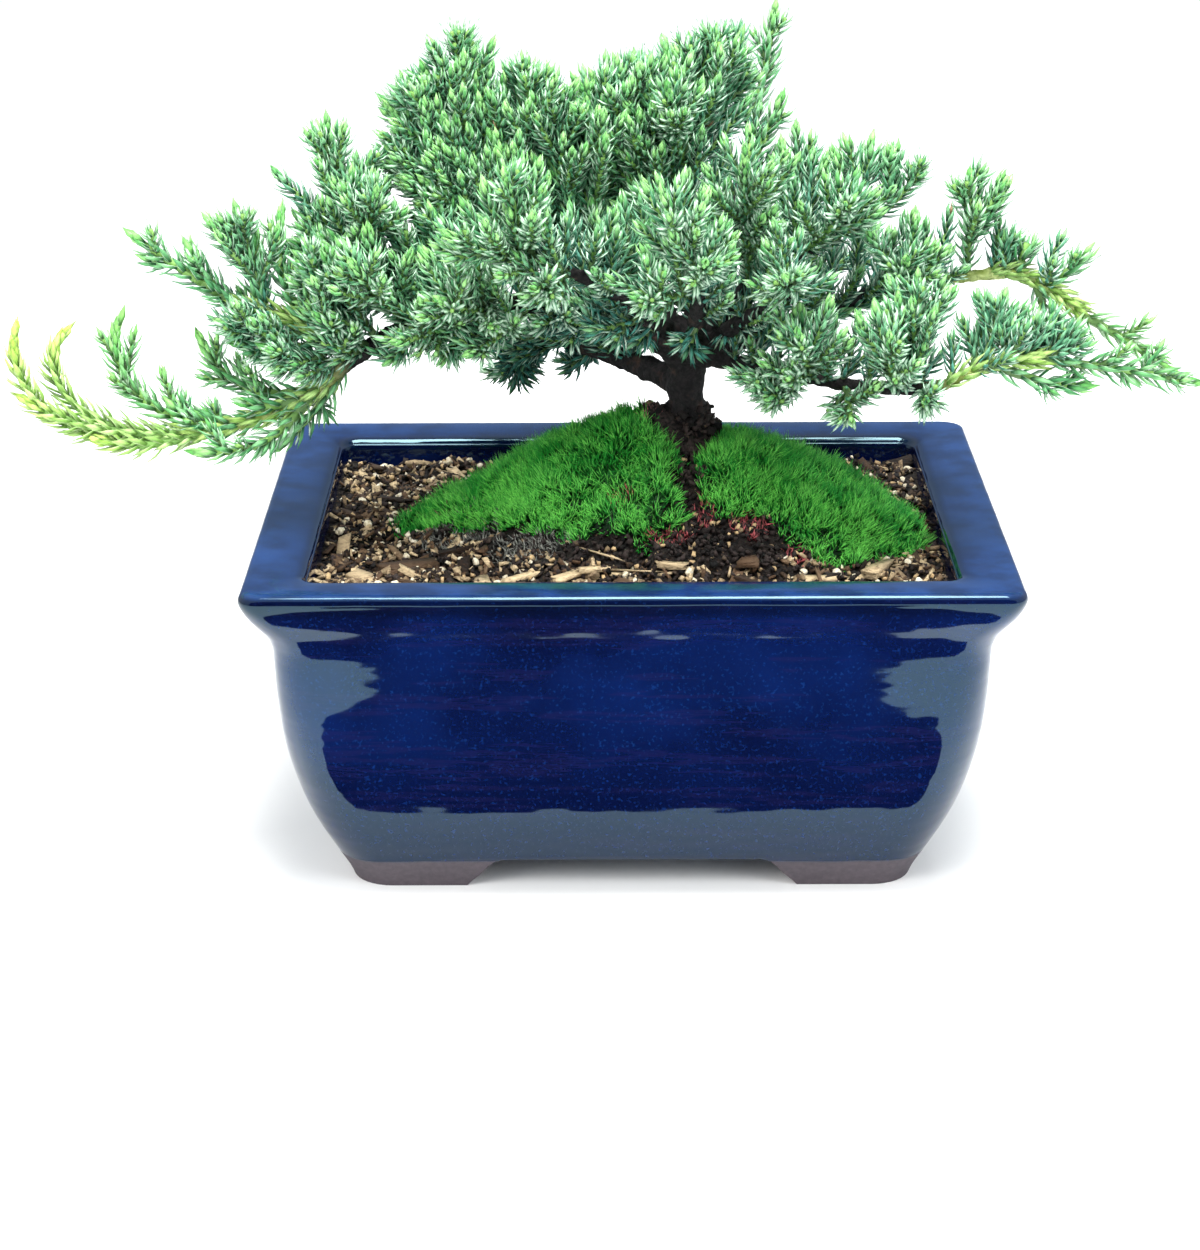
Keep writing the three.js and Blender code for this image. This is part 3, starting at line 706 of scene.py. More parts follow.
def moss_share(cushion, x, y):
    """0 at a cushion's middle and 1 at its edge."""
    middle_x, middle_y, reach = cushion
    reach = np.array(reach, float)
    dx, dy = x - middle_x, y - middle_y
    step = np.mod(np.arctan2(dy, dx) / (2 * math.pi), 1) * len(reach)
    i = np.floor(step).astype(int) % len(reach)
    ease = (1 - np.cos(math.pi * (step - np.floor(step)))) / 2
    edge = reach[i] * (1 - ease) + reach[(i + 1) % len(reach)] * ease
    return np.hypot(dx, dy) / edge


def off_moss(x, y, margin):
    """Whether points lie further out than this share of both cushions' reach."""
    return np.all([moss_share(cushion, x, y) > margin for cushion in MOSS.values()], axis=0)


# %% Patterns for the litter
def crumpled(piece, amount, seed):
    """Pushes each point of a small shape in or out by noise."""
    for vertex in piece.data.vertices:
        vertex.co *= 1 + amount * noise.noise(vertex.co * 1.7 + Vector((seed * 7.3, seed, 0)))


def bark_chip(seed):
    """A flat torn flake: a cube, narrowed towards one end, twisted and crumpled."""
    chip = start(bpy.ops.mesh.primitive_cube_add, size=1.0)
    edit_all()
    bpy.ops.mesh.subdivide(number_cuts=1)
    bpy.ops.object.mode_set(mode="OBJECT")
    for vertex in chip.data.vertices:
        vertex.co.y *= 1 - 0.6 * draw(seed, 1) * (vertex.co.x + 0.5)
        vertex.co.y += 0.5 * (draw(seed, 2) - 0.5) * vertex.co.x
        vertex.co.z += 0.6 * (draw(seed, 5) - 0.5) * vertex.co.x
    crumpled(chip, 0.5, seed)
    return Pattern(chip)


def shard(seed, amount=0.5):
    """A small splinter or grain of soil: a cube with each corner pushed about."""
    block = start(bpy.ops.mesh.primitive_cube_add, size=0.9)
    for k, vertex in enumerate(block.data.vertices):
        vertex.co *= 1 + amount * (draw(seed, k) - 0.5)
        vertex.co.y *= 1 - 0.5 * draw(seed, 9) * (vertex.co.x + 0.5)
    return Pattern(block)


def pearl(seed):
    """A puffed grain of perlite: a ball, crumpled."""
    ball = start(bpy.ops.mesh.primitive_ico_sphere_add, subdivisions=2, radius=0.5)
    crumpled(ball, 0.45, seed)
    return Pattern(ball)


chips = [bark_chip(seed) for seed in range(1, 6)]
splinters = [shard(seed) for seed in range(1, 6)]
crumbs = [shard(seed, 0.9) for seed in range(6, 10)]
pearls = [pearl(seed) for seed in range(4, 7)]
print("litter patterns:", len(chips + splinters + crumbs + pearls))

# %% Scatter the litter
def scatter(count, margin, highest):
    """Random places on the soil that no moss covers, in mm."""
    x = rng.uniform(-SOIL_HALF_X + 1, SOIL_HALF_X - 1, 4 * count)
    y = rng.uniform(-SOIL_HALF_Y + 1, SOIL_HALF_Y - 1, 4 * count)
    kept = off_moss(x, y, margin) & (ground(x, y) < highest)
    return x[kept][:count], y[kept][:count]


def litter(pile, patterns, count, sizes, lean, sink, margin=1.0, highest=99.0):
    """Copies that lie along the ground. sizes gives the least and most length, width and height
    in mm, lean how far they tip, sink how deep they lie, and highest the level they stop at."""
    x, y = scatter(count, margin, highest)
    low, high = np.array(sizes).T
    scale = (low + (high - low) * rng.random((len(x), 3)) ** 1.6) * MM
    up = slope(x, y) + lean * rng.normal(size=(len(x), 3))
    axes = turned_axes(up, scale)
    places = in_frame(x, y, ground(x, y) + 0.3 + scale[:, 2] / MM * (0.5 - sink))
    kind = rng.integers(len(patterns), size=len(x))
    tone = rng.random(len(x))
    for k, pattern in enumerate(patterns):
        mine = kind == k
        pile.add(pattern, places[mine], axes[mine], tone=tone[mine])


rng = np.random.default_rng(11)
bark_litter, fines, perlite = Pile(), Pile(), Pile()
flake_sizes = [(3.5, 8.5), (1.6, 3.6), (0.5, 1.2)]
litter(bark_litter, chips, 110, flake_sizes, 0.25, 0.2, 1.1, SOIL_LEVEL + 2.4)
splinter_sizes = [(1.2, 4.2), (0.5, 1.5), (0.3, 0.9)]
litter(bark_litter, splinters, 2600, splinter_sizes, 0.5, 0.2, 1.0, SOIL_LEVEL + 3.6)

# The largest flakes, and two straws: x, y, the turn, then length, width, thickness, and the tone.
PLACED = [
    (-45, -27, 0.6, 12, 5, 1.2, 0.4), (-30, -37, 1.8, 7, 4, 1, 0.9),
    (-22.5, -36.5, 0.7, 9, 2.6, 1, 0.95), (-12.5, -36.5, 0.8, 9, 3, 1, 0.9),
    (-7, -35, 0.3, 7, 2, 0.8, 0.95), (24, -33, 1.5, 6.5, 4, 1, 0.45),
    (50, -31, 1.1, 9, 3.4, 1.2, 0.85), (-54, -33, 2.4, 8, 4, 1, 0.8),
    (-8, -31, -0.72, 17, 0.4, 0.4, 0.95), (2, -36, -0.15, 12, 0.4, 0.4, 0.9),
    (38, -37, 0.2, 7, 2.2, 0.9, 0.9), (8, -37, 2.8, 6, 2.4, 0.9, 0.85),
]
for number, (px, py, turn, *size, tone) in enumerate(PLACED):
    spot = in_frame(np.array([px]), np.array([py]), ground(px, py) + np.array([1.2]))
    flat_axes = np.array(Matrix.Rotation(turn, 3, "Z")) @ np.diag(size) * MM
    pattern = chips[number % len(chips)] if size[1] > 1 else splinters[0]
    bark_litter.add(pattern, spot, flat_axes[None], tone=tone)

# %% Finer soil
litter(fines, crumbs, 4200, [(0.5, 1.5), (0.5, 1.3), (0.4, 1.1)], 0.6, 0.1)


def heap(pattern, places, size, palest):
    """Crumbs of soil at given places, which lie any way round."""
    axes = turned_axes(rng.normal(size=(len(size), 3)), size)
    fines.add(pattern, places, axes, tone=rng.random(len(size)) * palest)


# The hollow between the cushions, and a strip in front of them, are dark with finer soil.
GULLY = 2200
x, y = rng.uniform(-24, 30, GULLY), rng.uniform(-38, 12, GULLY)
kept = off_moss(x, y, 0.94) & ((y > -33) | (rng.random(GULLY) < 0.4))
x, y = x[kept], y[kept]
size = (0.5 + 1.1 * rng.random((len(x), 3)) ** 2) * MM
places = in_frame(x, y, ground(x, y) + 0.7 * rng.random(len(x)))
heap(crumbs[1], places, size, 0.73)

# Soil is also packed round the trunk's foot, where it hides how the bark meets the ground. It
# reaches furthest out at the crust's bottom.
CRUST = 1800
CRUST_X, CRUST_Y, CRUST_BOTTOM, CRUST_RISE = 12.3, 0.5, 79, 12
CRUST_NEAR, CRUST_FAR = 3.4, 5.8
turn = rng.uniform(0, 2 * math.pi, CRUST)
up = rng.random(CRUST) ** 1.8
span = CRUST_NEAR + CRUST_FAR * (1 - up) ** 1.8 + rng.normal(0, 0.7, CRUST)
x, y = CRUST_X + span * np.cos(turn), CRUST_Y + span * np.sin(turn)
z = np.maximum(ground(x, y) + 0.5, CRUST_BOTTOM + CRUST_RISE * up)
size = (0.5 + 1.4 * rng.random((CRUST, 3)) ** 2) * MM
heap(crumbs[0], in_frame(x, y, z), size, 0.84)

pearl_sizes = [(1.4, 2.4), (1.3, 2.1), (1.2, 1.9)]
litter(perlite, pearls, 60, pearl_sizes, 0.6, 0.15, 1.0, SOIL_LEVEL + 3.4)
grain_sizes = [(0.4, 1.3), (0.4, 1.2), (0.4, 1.1)]
litter(perlite, crumbs, 420, grain_sizes, 0.6, 0.05, 1.0, SOIL_LEVEL + 3.4)
wood_chips = bark_litter.make("bark_chips")
dark_fines = fines.make("soil_fines")
white_perlite = perlite.make("perlite")

# %% Finishes of the litter
torn = Finish("torn bark", Roughness=0.85)
tone = torn.tag("tone")
fibre = torn.noise(0.0009, 3.0, (1, 1, 3))
dark_bark = torn.blend(tone.between(0.0, 0.6), "150f0c", "5a4431")
pale_bark = torn.blend(tone.between(0.55, 0.95), dark_bark, "c8b28e")
torn.paint(fibre.between(0.45, 0.75) * 0.6, pale_bark, "3a2414")
torn.bump(fibre, 0.0005)
dress(wood_chips, "bark_chips", torn, "soil")

crumbly = Finish("dark fines", Roughness=0.9)
tone = crumbly.tag("tone")
dark_fine = crumbly.blend(tone.between(0.0, 0.7), "070708", "332a28")
crumbly.paint(tone.between(0.78, 1.0), dark_fine, "c2a67c")
crumbly.bump(crumbly.noise(0.0005), 0.0003)
dress(dark_fines, "soil_fines", crumbly, "soil")

puffed = Finish("perlite", Roughness=0.8)
pores = puffed.noise(0.0006, 3.0)
puffed.paint(pores.between(0.3, 0.75), "ece4d0", "b4a482")
puffed.bump(pores, 0.0004)
dress(white_perlite, "perlite", puffed, "soil")

# %% [markdown]
# ## The moss
# Moss is thousands of hair-fine leafy stems, each 3 or 4 mm tall, that stand out from a low
# cushion. One stem is a three-sided spike. The copies stand off the cushion's slope, lean in
# swirls, and thin out to bare soil at its ragged edge.

# %% A moss stem
def remapped(piece):
    """Swaps a primitive's own map for an empty one, and moves its place into its mesh."""
    piece.data.transform(piece.matrix_world)
    piece.matrix_world = Matrix.Identity(4)
    for layer in list(piece.data.uv_layers):
        piece.data.uv_layers.remove(layer)
    return piece.data.uv_layers.new(name="needle", do_init=False)


# The place of a primitive of height 1 whose foot is at the origin.
half_up = (0, 0, 0.5)
spike = start(bpy.ops.mesh.primitive_cone_add, vertices=3, radius1=0.5, depth=1.0, location=half_up)
rise_map = remapped(spike)
for loop in spike.data.loops:
    rise_map.data[loop.index].uv = (0.5, spike.data.vertices[loop.vertex_index].co.z)
moss_stem = Pattern(spike)
print("moss stem:", len(moss_stem.sizes), "faces")


# %% The cushions' felt
MOSS_HEIGHT = 2.7
# The share of a cushion's reach that its felt covers: past it the stems stand on soil.
FELT_SHARE = 0.9
FELT_DEPTH = 4
FELT_TONE = 0.2


def moss_height(cushion):
    """The function that gives a cushion's height in mm, as ground does for the soil."""
    def height(x, y):
        share = np.minimum(moss_share(cushion, x, y), 1.0)
        return ground(x, y) + MOSS_HEIGHT * (1.0 - share**3)

    return height


def moss_felt(cushion):
    """The low cushion under the stems: a disc of rings set to the cushion's height."""
    felt = start(bpy.ops.mesh.primitive_circle_add, vertices=72, radius=1.0, fill_type="NGON")
    edit_all()
    for _ in range(11):
        bpy.ops.mesh.inset(thickness=0.085)
    bpy.ops.mesh.select_all(action="SELECT")
    bpy.ops.mesh.region_to_loop()
    extrude(bpy.ops.mesh.extrude_edges_move, 0, 0, -1)
    bpy.ops.mesh.edge_face_add()
    close_edit()
    right, back, up = np.array([vertex.co for vertex in felt.data.vertices]).T
    far = moss_share(cushion, right + cushion[0], back + cushion[1])
    radius = np.hypot(right, back)
    stretch = FELT_SHARE * np.where(radius > 1e-6, radius / np.maximum(far, 1e-9), 1.0)
    x, y = cushion[0] + right * stretch, cushion[1] + back * stretch
    top = moss_height(cushion)(x, y) + 0.5 * cloud(x, y, 0.4, 1.0)
    z = np.where(up < -0.5, ground(x, y) - FELT_DEPTH, top)
    felt.data.vertices.foreach_set("co", in_frame(x, y, z).ravel())
    felt.data.update()
    return Pattern(felt)


# %% Stems on a cushion
# Each tuft's number of stems, and how far in front of its middle a cushion is painted brighter,
# in mm, as painted light on its front.
TUFT = 26
SUNNY_FRONT = 12


def stand(pile, cushion, x, y, lean, length, width, **tags):
    """Stems at points on a cushion, which lean by the given vectors. Sizes are in mm."""
    up = slope(x, y, moss_height(cushion)) + lean
    up[:, 2] = np.abs(up[:, 2]) + 0.2
    scales = np.stack([width, width, length], axis=-1) * MM
    places = in_frame(x, y, moss_height(cushion)(x, y) - 0.4)
    pile.add(moss_stem, places, turned_axes(up, scales), **tags)


def toward_edge(cushion, angle, share):
    """Points at a share of a cushion's reach, each in its direction, and the reach there."""
    edge = 1 / moss_share(cushion, cushion[0] + np.cos(angle), cushion[1] + np.sin(angle))
    x = cushion[0] + share * edge * np.cos(angle)
    y = cushion[1] + share * edge * np.sin(angle)
    return x, y, edge


def moss_lawn(pile, cushion, count):
    """A lawn of stems that thins out raggedly towards the cushion's edge."""
    angle = rng.uniform(0, 2 * math.pi, count)
    share = np.sqrt(rng.random(count)) * 1.05
    x, y, edge = toward_edge(cushion, angle, share)
    patch = cloud(x, y, 0.2, 5.0)
    inward = np.clip((1 - share) * edge / 6, -0.3, 1)
    kept = rng.random(count) > (1 - inward) * (0.5 + 1.2 * patch)
    x, y, inward, patch = x[kept], y[kept], inward[kept], patch[kept]
    clump = cloud(x, y, 0.55, 9.0)
    swirl = cloud(x, y, 0.45, 2.0, noise.noise_vector)
    lean = 0.9 * swirl + 0.45 * rng.normal(size=(len(x), 3))
    length = (2.2 + 2.0 * rng.random(len(x)) + 2.4 * clump) * (0.75 + 0.3 * inward)
    width = 0.3 + 0.16 * rng.random(len(x))
    tone = rng.random(len(x)) * 0.5 + 0.9 * clump + 0.5 * patch
    # The front of each cushion is painted brighter: painted light.
    tone = tone + 0.12 + 0.25 * (y < cushion[1] - SUNNY_FRONT)
    stand(pile, cushion, x, y, lean, length, width, tone=tone)


def moss_tufts(pile, cushion, count):
    """Star-like tufts at the cushion's front, where fresh stems fan out over the soil."""
    stems = count * TUFT
    angle = np.repeat(rng.uniform(1.05 * math.pi, 1.95 * math.pi, count), TUFT)
    share = np.repeat(rng.uniform(0.5, 1.0, count), TUFT)
    x, y, _ = toward_edge(cushion, angle, share)
    spin = rng.uniform(0, 2 * math.pi, stems)
    out = np.stack([np.cos(spin), np.sin(spin), np.zeros(stems)], axis=-1)
    lean = out * rng.uniform(0.2, 1.3, (stems, 1))
    length = rng.uniform(2.8, 5.0, stems)
    tone = np.repeat(rng.uniform(0.7, 1.2, count), TUFT)
    x, y = x + 0.4 * out[:, 0], y + 0.4 * out[:, 1]
    stand(pile, cushion, x, y, lean, length, np.full(stems, 0.34), tone=tone)


def dry_stems(pile, cushion, patches):
    """Stems in patches where the moss has dried to rust, or to ash. A patch: x, y, its two
    radii, how many stems, and how ashen."""
    for middle_x, middle_y, wide, deep, count, ash in patches:
        angle, far = rng.uniform(0, 2 * math.pi, count), np.sqrt(rng.random(count))
        x, y = middle_x + wide * far * np.cos(angle), middle_y + deep * far * np.sin(angle)
        lean = 0.6 * rng.normal(size=(count, 3))
        length, width = rng.uniform(1.3, 2.8, count), rng.uniform(0.3, 0.6, count)
        tone = rng.random(count)
        stand(pile, cushion, x, y, lean, length, width, tone=tone, dry=1.0, ash=ash)


# %% The moss's finish
moss_finish = Finish("live moss", Roughness=0.6)
rise = moss_finish.part(moss_finish.needle_map(), 1)
tone = moss_finish.tag("tone")
# Each stem is painted dark at its foot, as painted shade inside the cushion, and bright towards its
# tip.
shady = moss_finish.blend(rise.between(0.0, 0.6), "021e08", "0c6c1a")
sunny = moss_finish.blend(tone.between(0.2, 1.0), "139c2c", "84f262")
green_stem = moss_finish.blend(rise.between(0.35, 1.0), shady, sunny)
rusty = moss_finish.blend(tone, "34141a", "b4565a")
ashen = moss_finish.blend(tone, "1c1e20", "8c8e86")
dried = moss_finish.blend(moss_finish.tag("ash"), rusty, ashen)
moss_finish.paint(moss_finish.tag("dry"), green_stem, dried)
moss_finish.bump(moss_finish.noise(0.0005), 0.0002)

# %% Grow each cushion
MOSS_STEMS = {"moss_left": 22000, "moss_right": 17000}
MOSS_TUFTS = {"moss_left": 100, "moss_right": 80}
# Dry patches, in mm from the pot's middle: x, y, both radii, how many stems, and how ashen.
DRY = {
    "moss_left": [
        (-2, -20, 3, 2.5, 60, 0), (8, -29, 5, 2, 80, 0), (-34, -14, 10, 6, 700, 1),
        (-20, -25, 9, 4, 500, 1), (-37, -3, 5, 3, 90, 0.5), (4, -2, 2, 2, 60, 0.3),
    ],
    "moss_right": [
        (15, -23, 2, 4.5, 110, 0), (24, -25, 4, 4, 150, 0), (35, -29, 4, 2, 50, 0),
        (30, -2, 2, 1.5, 40, 0.6),
    ],
}
for seed, (name, cushion) in enumerate(MOSS.items()):
    pile = Pile()
    pile.add(moss_felt(cushion), np.zeros((1, 3)), np.eye(3)[None], tone=FELT_TONE)
    rng = np.random.default_rng(40 + seed)
    moss_lawn(pile, cushion, MOSS_STEMS[name])
    moss_tufts(pile, cushion, MOSS_TUFTS[name])
    dry_stems(pile, cushion, DRY[name])
    dress(pile.make(name + "_stems"), name + "_stems", moss_finish, "moss", name)

# %% [markdown]
# ## Wood
# The trunk is short and thick, and it forks at once into limbs that carry the sprays. Curves
# are the easy way to draw wood, because each point has its own radius. Turned into meshes and
# joined by a voxel remesh, they flow into each other at the forks, and two displacements then
# crack the bark.

# %% The trunk's line and the limbs, in mm from the pot's middle
TRUNK_LINE = [(13, 1, 71), (13, 1, 77), (13, 1, 83), (12, 0, 89), (11.6, 0, 96), (13, 1, 104)]
TRUNK_RADII = [7.4, 6.6, 5.0, 3.9, 3.8, 4.1]
# A limb: the four points of its curve, then its radius at each end.
LIMBS = {
    "left": ((12, 0, 100), (-6, -8, 121), (-43, -14, 120), (-60, -14, 102), 2.7, 1.6),
    "left_trail": ((-60, -14, 102), (-66, -15, 96), (-78, -18, 91), (-92, -20, 91), 1.6, 0.9),
    "left_fan": ((-57, -14, 105), (-64, -14, 113), (-72, -13, 114), (-80, -13, 116), 1.5, 0.8),
    "left_rise": ((-38, -12, 115), (-50, -9, 118), (-56, -7, 122), (-59, -6, 131), 2, 1),
    "low_back_left": ((11, 1, 96), (-2, 14, 97), (-14, 26, 101), (-24, 34, 96), 3.0, 1.0),
    "left_up": ((13, 2, 103), (0, 8, 122), (-25, 4, 126), (-34, 3, 146), 2.6, 1.1),
    "centre_up": ((13, 2, 104), (17, 10, 118), (8, 12, 130), (15, 13, 146), 2.6, 1.1),
    "back_up": ((13, 3, 102), (16, 24, 112), (24, 48, 122), (28, 58, 140), 2.6, 1),
    "right_up": ((14, 0, 103), (22, -2, 118), (37, -6, 128), (50, -2, 131), 2.4, 1.1),
    "right": ((14, 0, 102), (33, 4, 107), (54, 6, 116), (74, 0, 119), 2.3, 1.3),
    "right_arch": ((74, 0, 119), (80, -1, 121), (87, -4, 117), (93, -8, 112), 1.3, 0.9),
    "right_low": ((14, -2, 102), (28, -14, 104), (46, -24, 99), (63, -28, 103), 2.0, 1.2),
    "right_low_trail": ((63, -28, 103), (68, -29, 107), (75, -28, 109), (82, -27, 108), 1.2, 0.9),
    "front_left": ((12, -2, 103), (4, -22, 119), (-8, -28, 125), (-19, -32, 130), 2.4, 1),
    "front": ((13, -2, 103), (14, -22, 118), (13, -30, 122), (13, -34, 128), 2.2, 1),
    "front_right": ((14, -2, 103), (22, -16, 114), (28, -24, 118), (33, -28, 123), 2.2, 1),
    "back_left": ((12, 3, 102), (2, 24, 108), (-11, 36, 113), (-24, 40, 118), 2.4, 1),
    "back": ((13, 4, 102), (13, 28, 106), (14, 36, 110), (16, 42, 117), 2.2, 1),
    "back_right": ((14, 3, 102), (28, 24, 106), (40, 34, 110), (50, 38, 113), 2.4, 1),
}


# %% Draw the wood as curves
def wood_curve(stretches):
    """A round tube along cubic stretches. Each is four points and the radius at both ends."""
    tube = start(bpy.ops.curve.primitive_bezier_curve_add)
    curve = tube.data
    curve.bevel_depth = MM
    curve.bevel_resolution = 3
    curve.resolution_u = 10
    curve.use_fill_caps = True
    points = curve.splines[0].bezier_points
    points.add(len(stretches) - 1)
    for i, (a, b, c, d, thick, thin) in enumerate(stretches):
        first, last = points[i], points[i + 1]
        for point in (first, last):
            point.handle_left_type = point.handle_right_type = "FREE"
        first.co, first.handle_right, first.radius = from_pot(a), from_pot(b), thick
        last.co, last.handle_left, last.radius = from_pot(d), from_pot(c), thin
    points[0].handle_left = points[0].co
    points[-1].handle_right = points[-1].co
    bpy.ops.object.convert(target="MESH")
    return bpy.context.object


def straight(line, radii):
    """Cubic stretches that run straight from point to point."""
    out = []
    for a, d, ra, rd in zip(line, line[1:], radii, radii[1:]):
        a, d = np.array(a, float), np.array(d, float)
        out.append((a, a + (d - a) / 3, d - (d - a) / 3, d, ra, rd))
    return out


wood_parts = [wood_curve(straight(TRUNK_LINE, TRUNK_RADII))]
wood_parts += [wood_curve([limb]) for limb in LIMBS.values()]
print("wood:", len(wood_parts), "tubes")
bpy.ops.object.select_all(action="DESELECT")
for part in wood_parts:
    part.select_set(True)
bpy.context.view_layer.objects.active = wood_parts[0]
bpy.ops.object.join()
wood = bpy.context.object
bpy.ops.object.transform_apply(location=True, rotation=True, scale=True)

# %% Join and crack the bark
VOXEL = 0.7
remesh = wood.modifiers.new("join", "REMESH")
remesh.mode = "VOXEL"
remesh.voxel_size = VOXEL * MM
soften = wood.modifiers.new("soften", "SMOOTH")
soften.iterations = 3
for name, size, strength in (("burls", 6, 1.3), ("plates", 1.7, 1.1)):
    clouds = bpy.data.textures.new(name, "CLOUDS")
    clouds.noise_scale = size * MM
    clouds.noise_depth = 2
    push = wood.modifiers.new(name, "DISPLACE")
    push.texture = clouds
    push.texture_coords = "LOCAL"
    push.strength = strength * MM
    push.mid_level = 0.5
apply_modifiers(wood)
bpy.ops.object.shade_smooth()

# Far out, the trailing twigs are this year's growth: yellow-green and not yet bark.
spots = np.array([vertex.co for vertex in wood.data.vertices])
away = (spots[:, 0] - POT_MIDDLE[0]) / MM
youth = np.clip((-away - 57) / 8, 0, 1) + np.clip((away - 58) / 12, 0, 1)
store(wood.data, "youth", youth)

# %% The bark's finish
bark = Finish("juniper bark", Roughness=0.9)
flakes = bark.cells(0.0022, stretch=(1, 1, 0.45))
fine = bark.noise(0.0009, 4.0)
old = bark.blend(fine.between(0.35, 0.65), "060608", "1e1a1c")
old = bark.blend(bark.noise(0.004).between(0.58, 0.78), old, "49352b")
young = bark.blend(bark.noise(0.003, 3.0, (0.4, 1, 1)).between(0.4, 0.62), "c3d08a", "8a9a4c")
bark.paint(bark.tag("youth"), old, young)
bark.bump(flakes * 0.7 + fine * 0.6, 0.0009)
dress(wood, "wood", bark, "bark", "trunk")

# %% [markdown]
# ## Needles
# Juniper needles stand in whorls of three, each whorl turned a sixth of a turn from the last.
# A needle is a 5 mm awl: a flat upper face with a pale band, and two faces below that meet in a
# keel. One needle is extruded from a triangle in three steps.

# %% One needle
awl = start(bpy.ops.mesh.primitive_circle_add, vertices=3, radius=0.5, fill_type="NGON")
for vertex, (x, y) in zip(awl.data.vertices, [(-0.38, -0.08), (0.38, -0.08), (0, 0.28)]):
    vertex.co = Vector((x, y, 0))
edit_all()
extrude(bpy.ops.mesh.extrude_region_move, 0, -0.14, 0.5)
bpy.ops.transform.resize(value=(1.3, 1.1, 1))
extrude(bpy.ops.mesh.extrude_region_move, 0, -0.8, 0.5)
bpy.ops.mesh.merge(type="CENTER")
close_edit()

# The map's u runs 0 to 1 across the pale upper face, and from the keel at 2 to the edges at 3.
TIP_FROM = 0.99
across = remapped(awl)
for face in awl.data.polygons:
    corners = [awl.data.vertices[i].co for i in face.vertices]
    upper = all(abs(spot.x) > 0.3 or spot.z > TIP_FROM for spot in corners)
    for corner in face.loop_indices:
        spot = awl.data.vertices[awl.data.loops[corner].vertex_index].co
        if upper:
            side = 0.5 if spot.z > TIP_FROM else float(spot.x > 0)
        else:
            side = 2.5 if spot.z > TIP_FROM else 2.0 + (abs(spot.x) > 0.1)
        across.data[corner].uv = (side, spot.z)
needle = Pattern(awl)
print("needle:", len(needle.sizes), "faces, points", needle.points.round(2).tolist())

# %% A bit of green stem
twig_bit = start(
    bpy.ops.mesh.primitive_cylinder_add, vertices=5, radius=1.0, depth=1.0, location=half_up
)
remapped(twig_bit)
stem = Pattern(twig_bit)
print("stem:", len(stem.sizes), "faces")

# %% [markdown]
# ## Shoots
# A shoot is a bowed line with whorls of needles. Low on the shoot they are wide open and old,
# and towards its end they close over each other into a fresh blunt tip. These are the same
# rules as the CAD source uses, with the whorls closer together and many more side shoots.

# %% Curves and their frames
# Spokes are measured from ACROSS, which no shoot runs along.
ACROSS = np.array([0.8, 0.6, 0.0])
UP = np.array([0.0, 0.0, 1.0])
FULL_TURN = 6.28


def on_curve(points, t):
    """Places on a curve of any degree, by repeated mixing of its points."""
    t = np.asarray(t, float)[..., None]
    row = [np.asarray(p, float) for p in points]
    while len(row) > 1:
        row = [a + (b - a) * t for a, b in zip(row, row[1:])]
    return row[0]


def along_curve(points, t):
    """The directions of a curve at the shares t of its way."""
    gap = 1e-3
    return unit(on_curve(points, np.asarray(t) + gap) - on_curve(points, np.asarray(t) - gap))


def curve_length(points):
    """A curve's length, measured over 24 places along it."""
    spots = on_curve(points, np.linspace(0, 1, 24))
    return np.linalg.norm(np.diff(spots, axis=0), axis=1).sum()


def spokes(along, angle):
    """Directions at right angles to others, turned about them by angles."""
    u = unit(np.cross(along, ACROSS))
    v = np.cross(along, u)
    return u * np.cos(angle)[..., None] + v * np.sin(angle)[..., None]


def bowed(root, tip, sag):
    """A curve that hangs below the straight line by a share of its length."""
    middle = (root + tip) / 2 - UP * sag * np.linalg.norm(tip - root)
    return [root, middle, tip]


def smooth(x, low, high):
    """0 at low and 1 at high, with a smooth rise, as Value.between gives it."""
    t = np.clip((x - low) / (high - low), 0, 1)
    return t * t * (3 - 2 * t)


# %% Needles and stem of one shoot
# In mm: from whorl to whorl, a needle's length, and how far its foot is from the stem's middle.
WHORL_STEP = 1.2
NEEDLE_LENGTH = 4.6
NEEDLE_FOOT = 0.35
# The angle between needle and stem, low on a shoot and at its tip.
OPEN = 0.82
SHUT = 0.16
# The stem is made of bits about this long, in mm, and each runs a little into the next.
STEM_BIT = 4.5
STEM_OVERLAP = 1.06


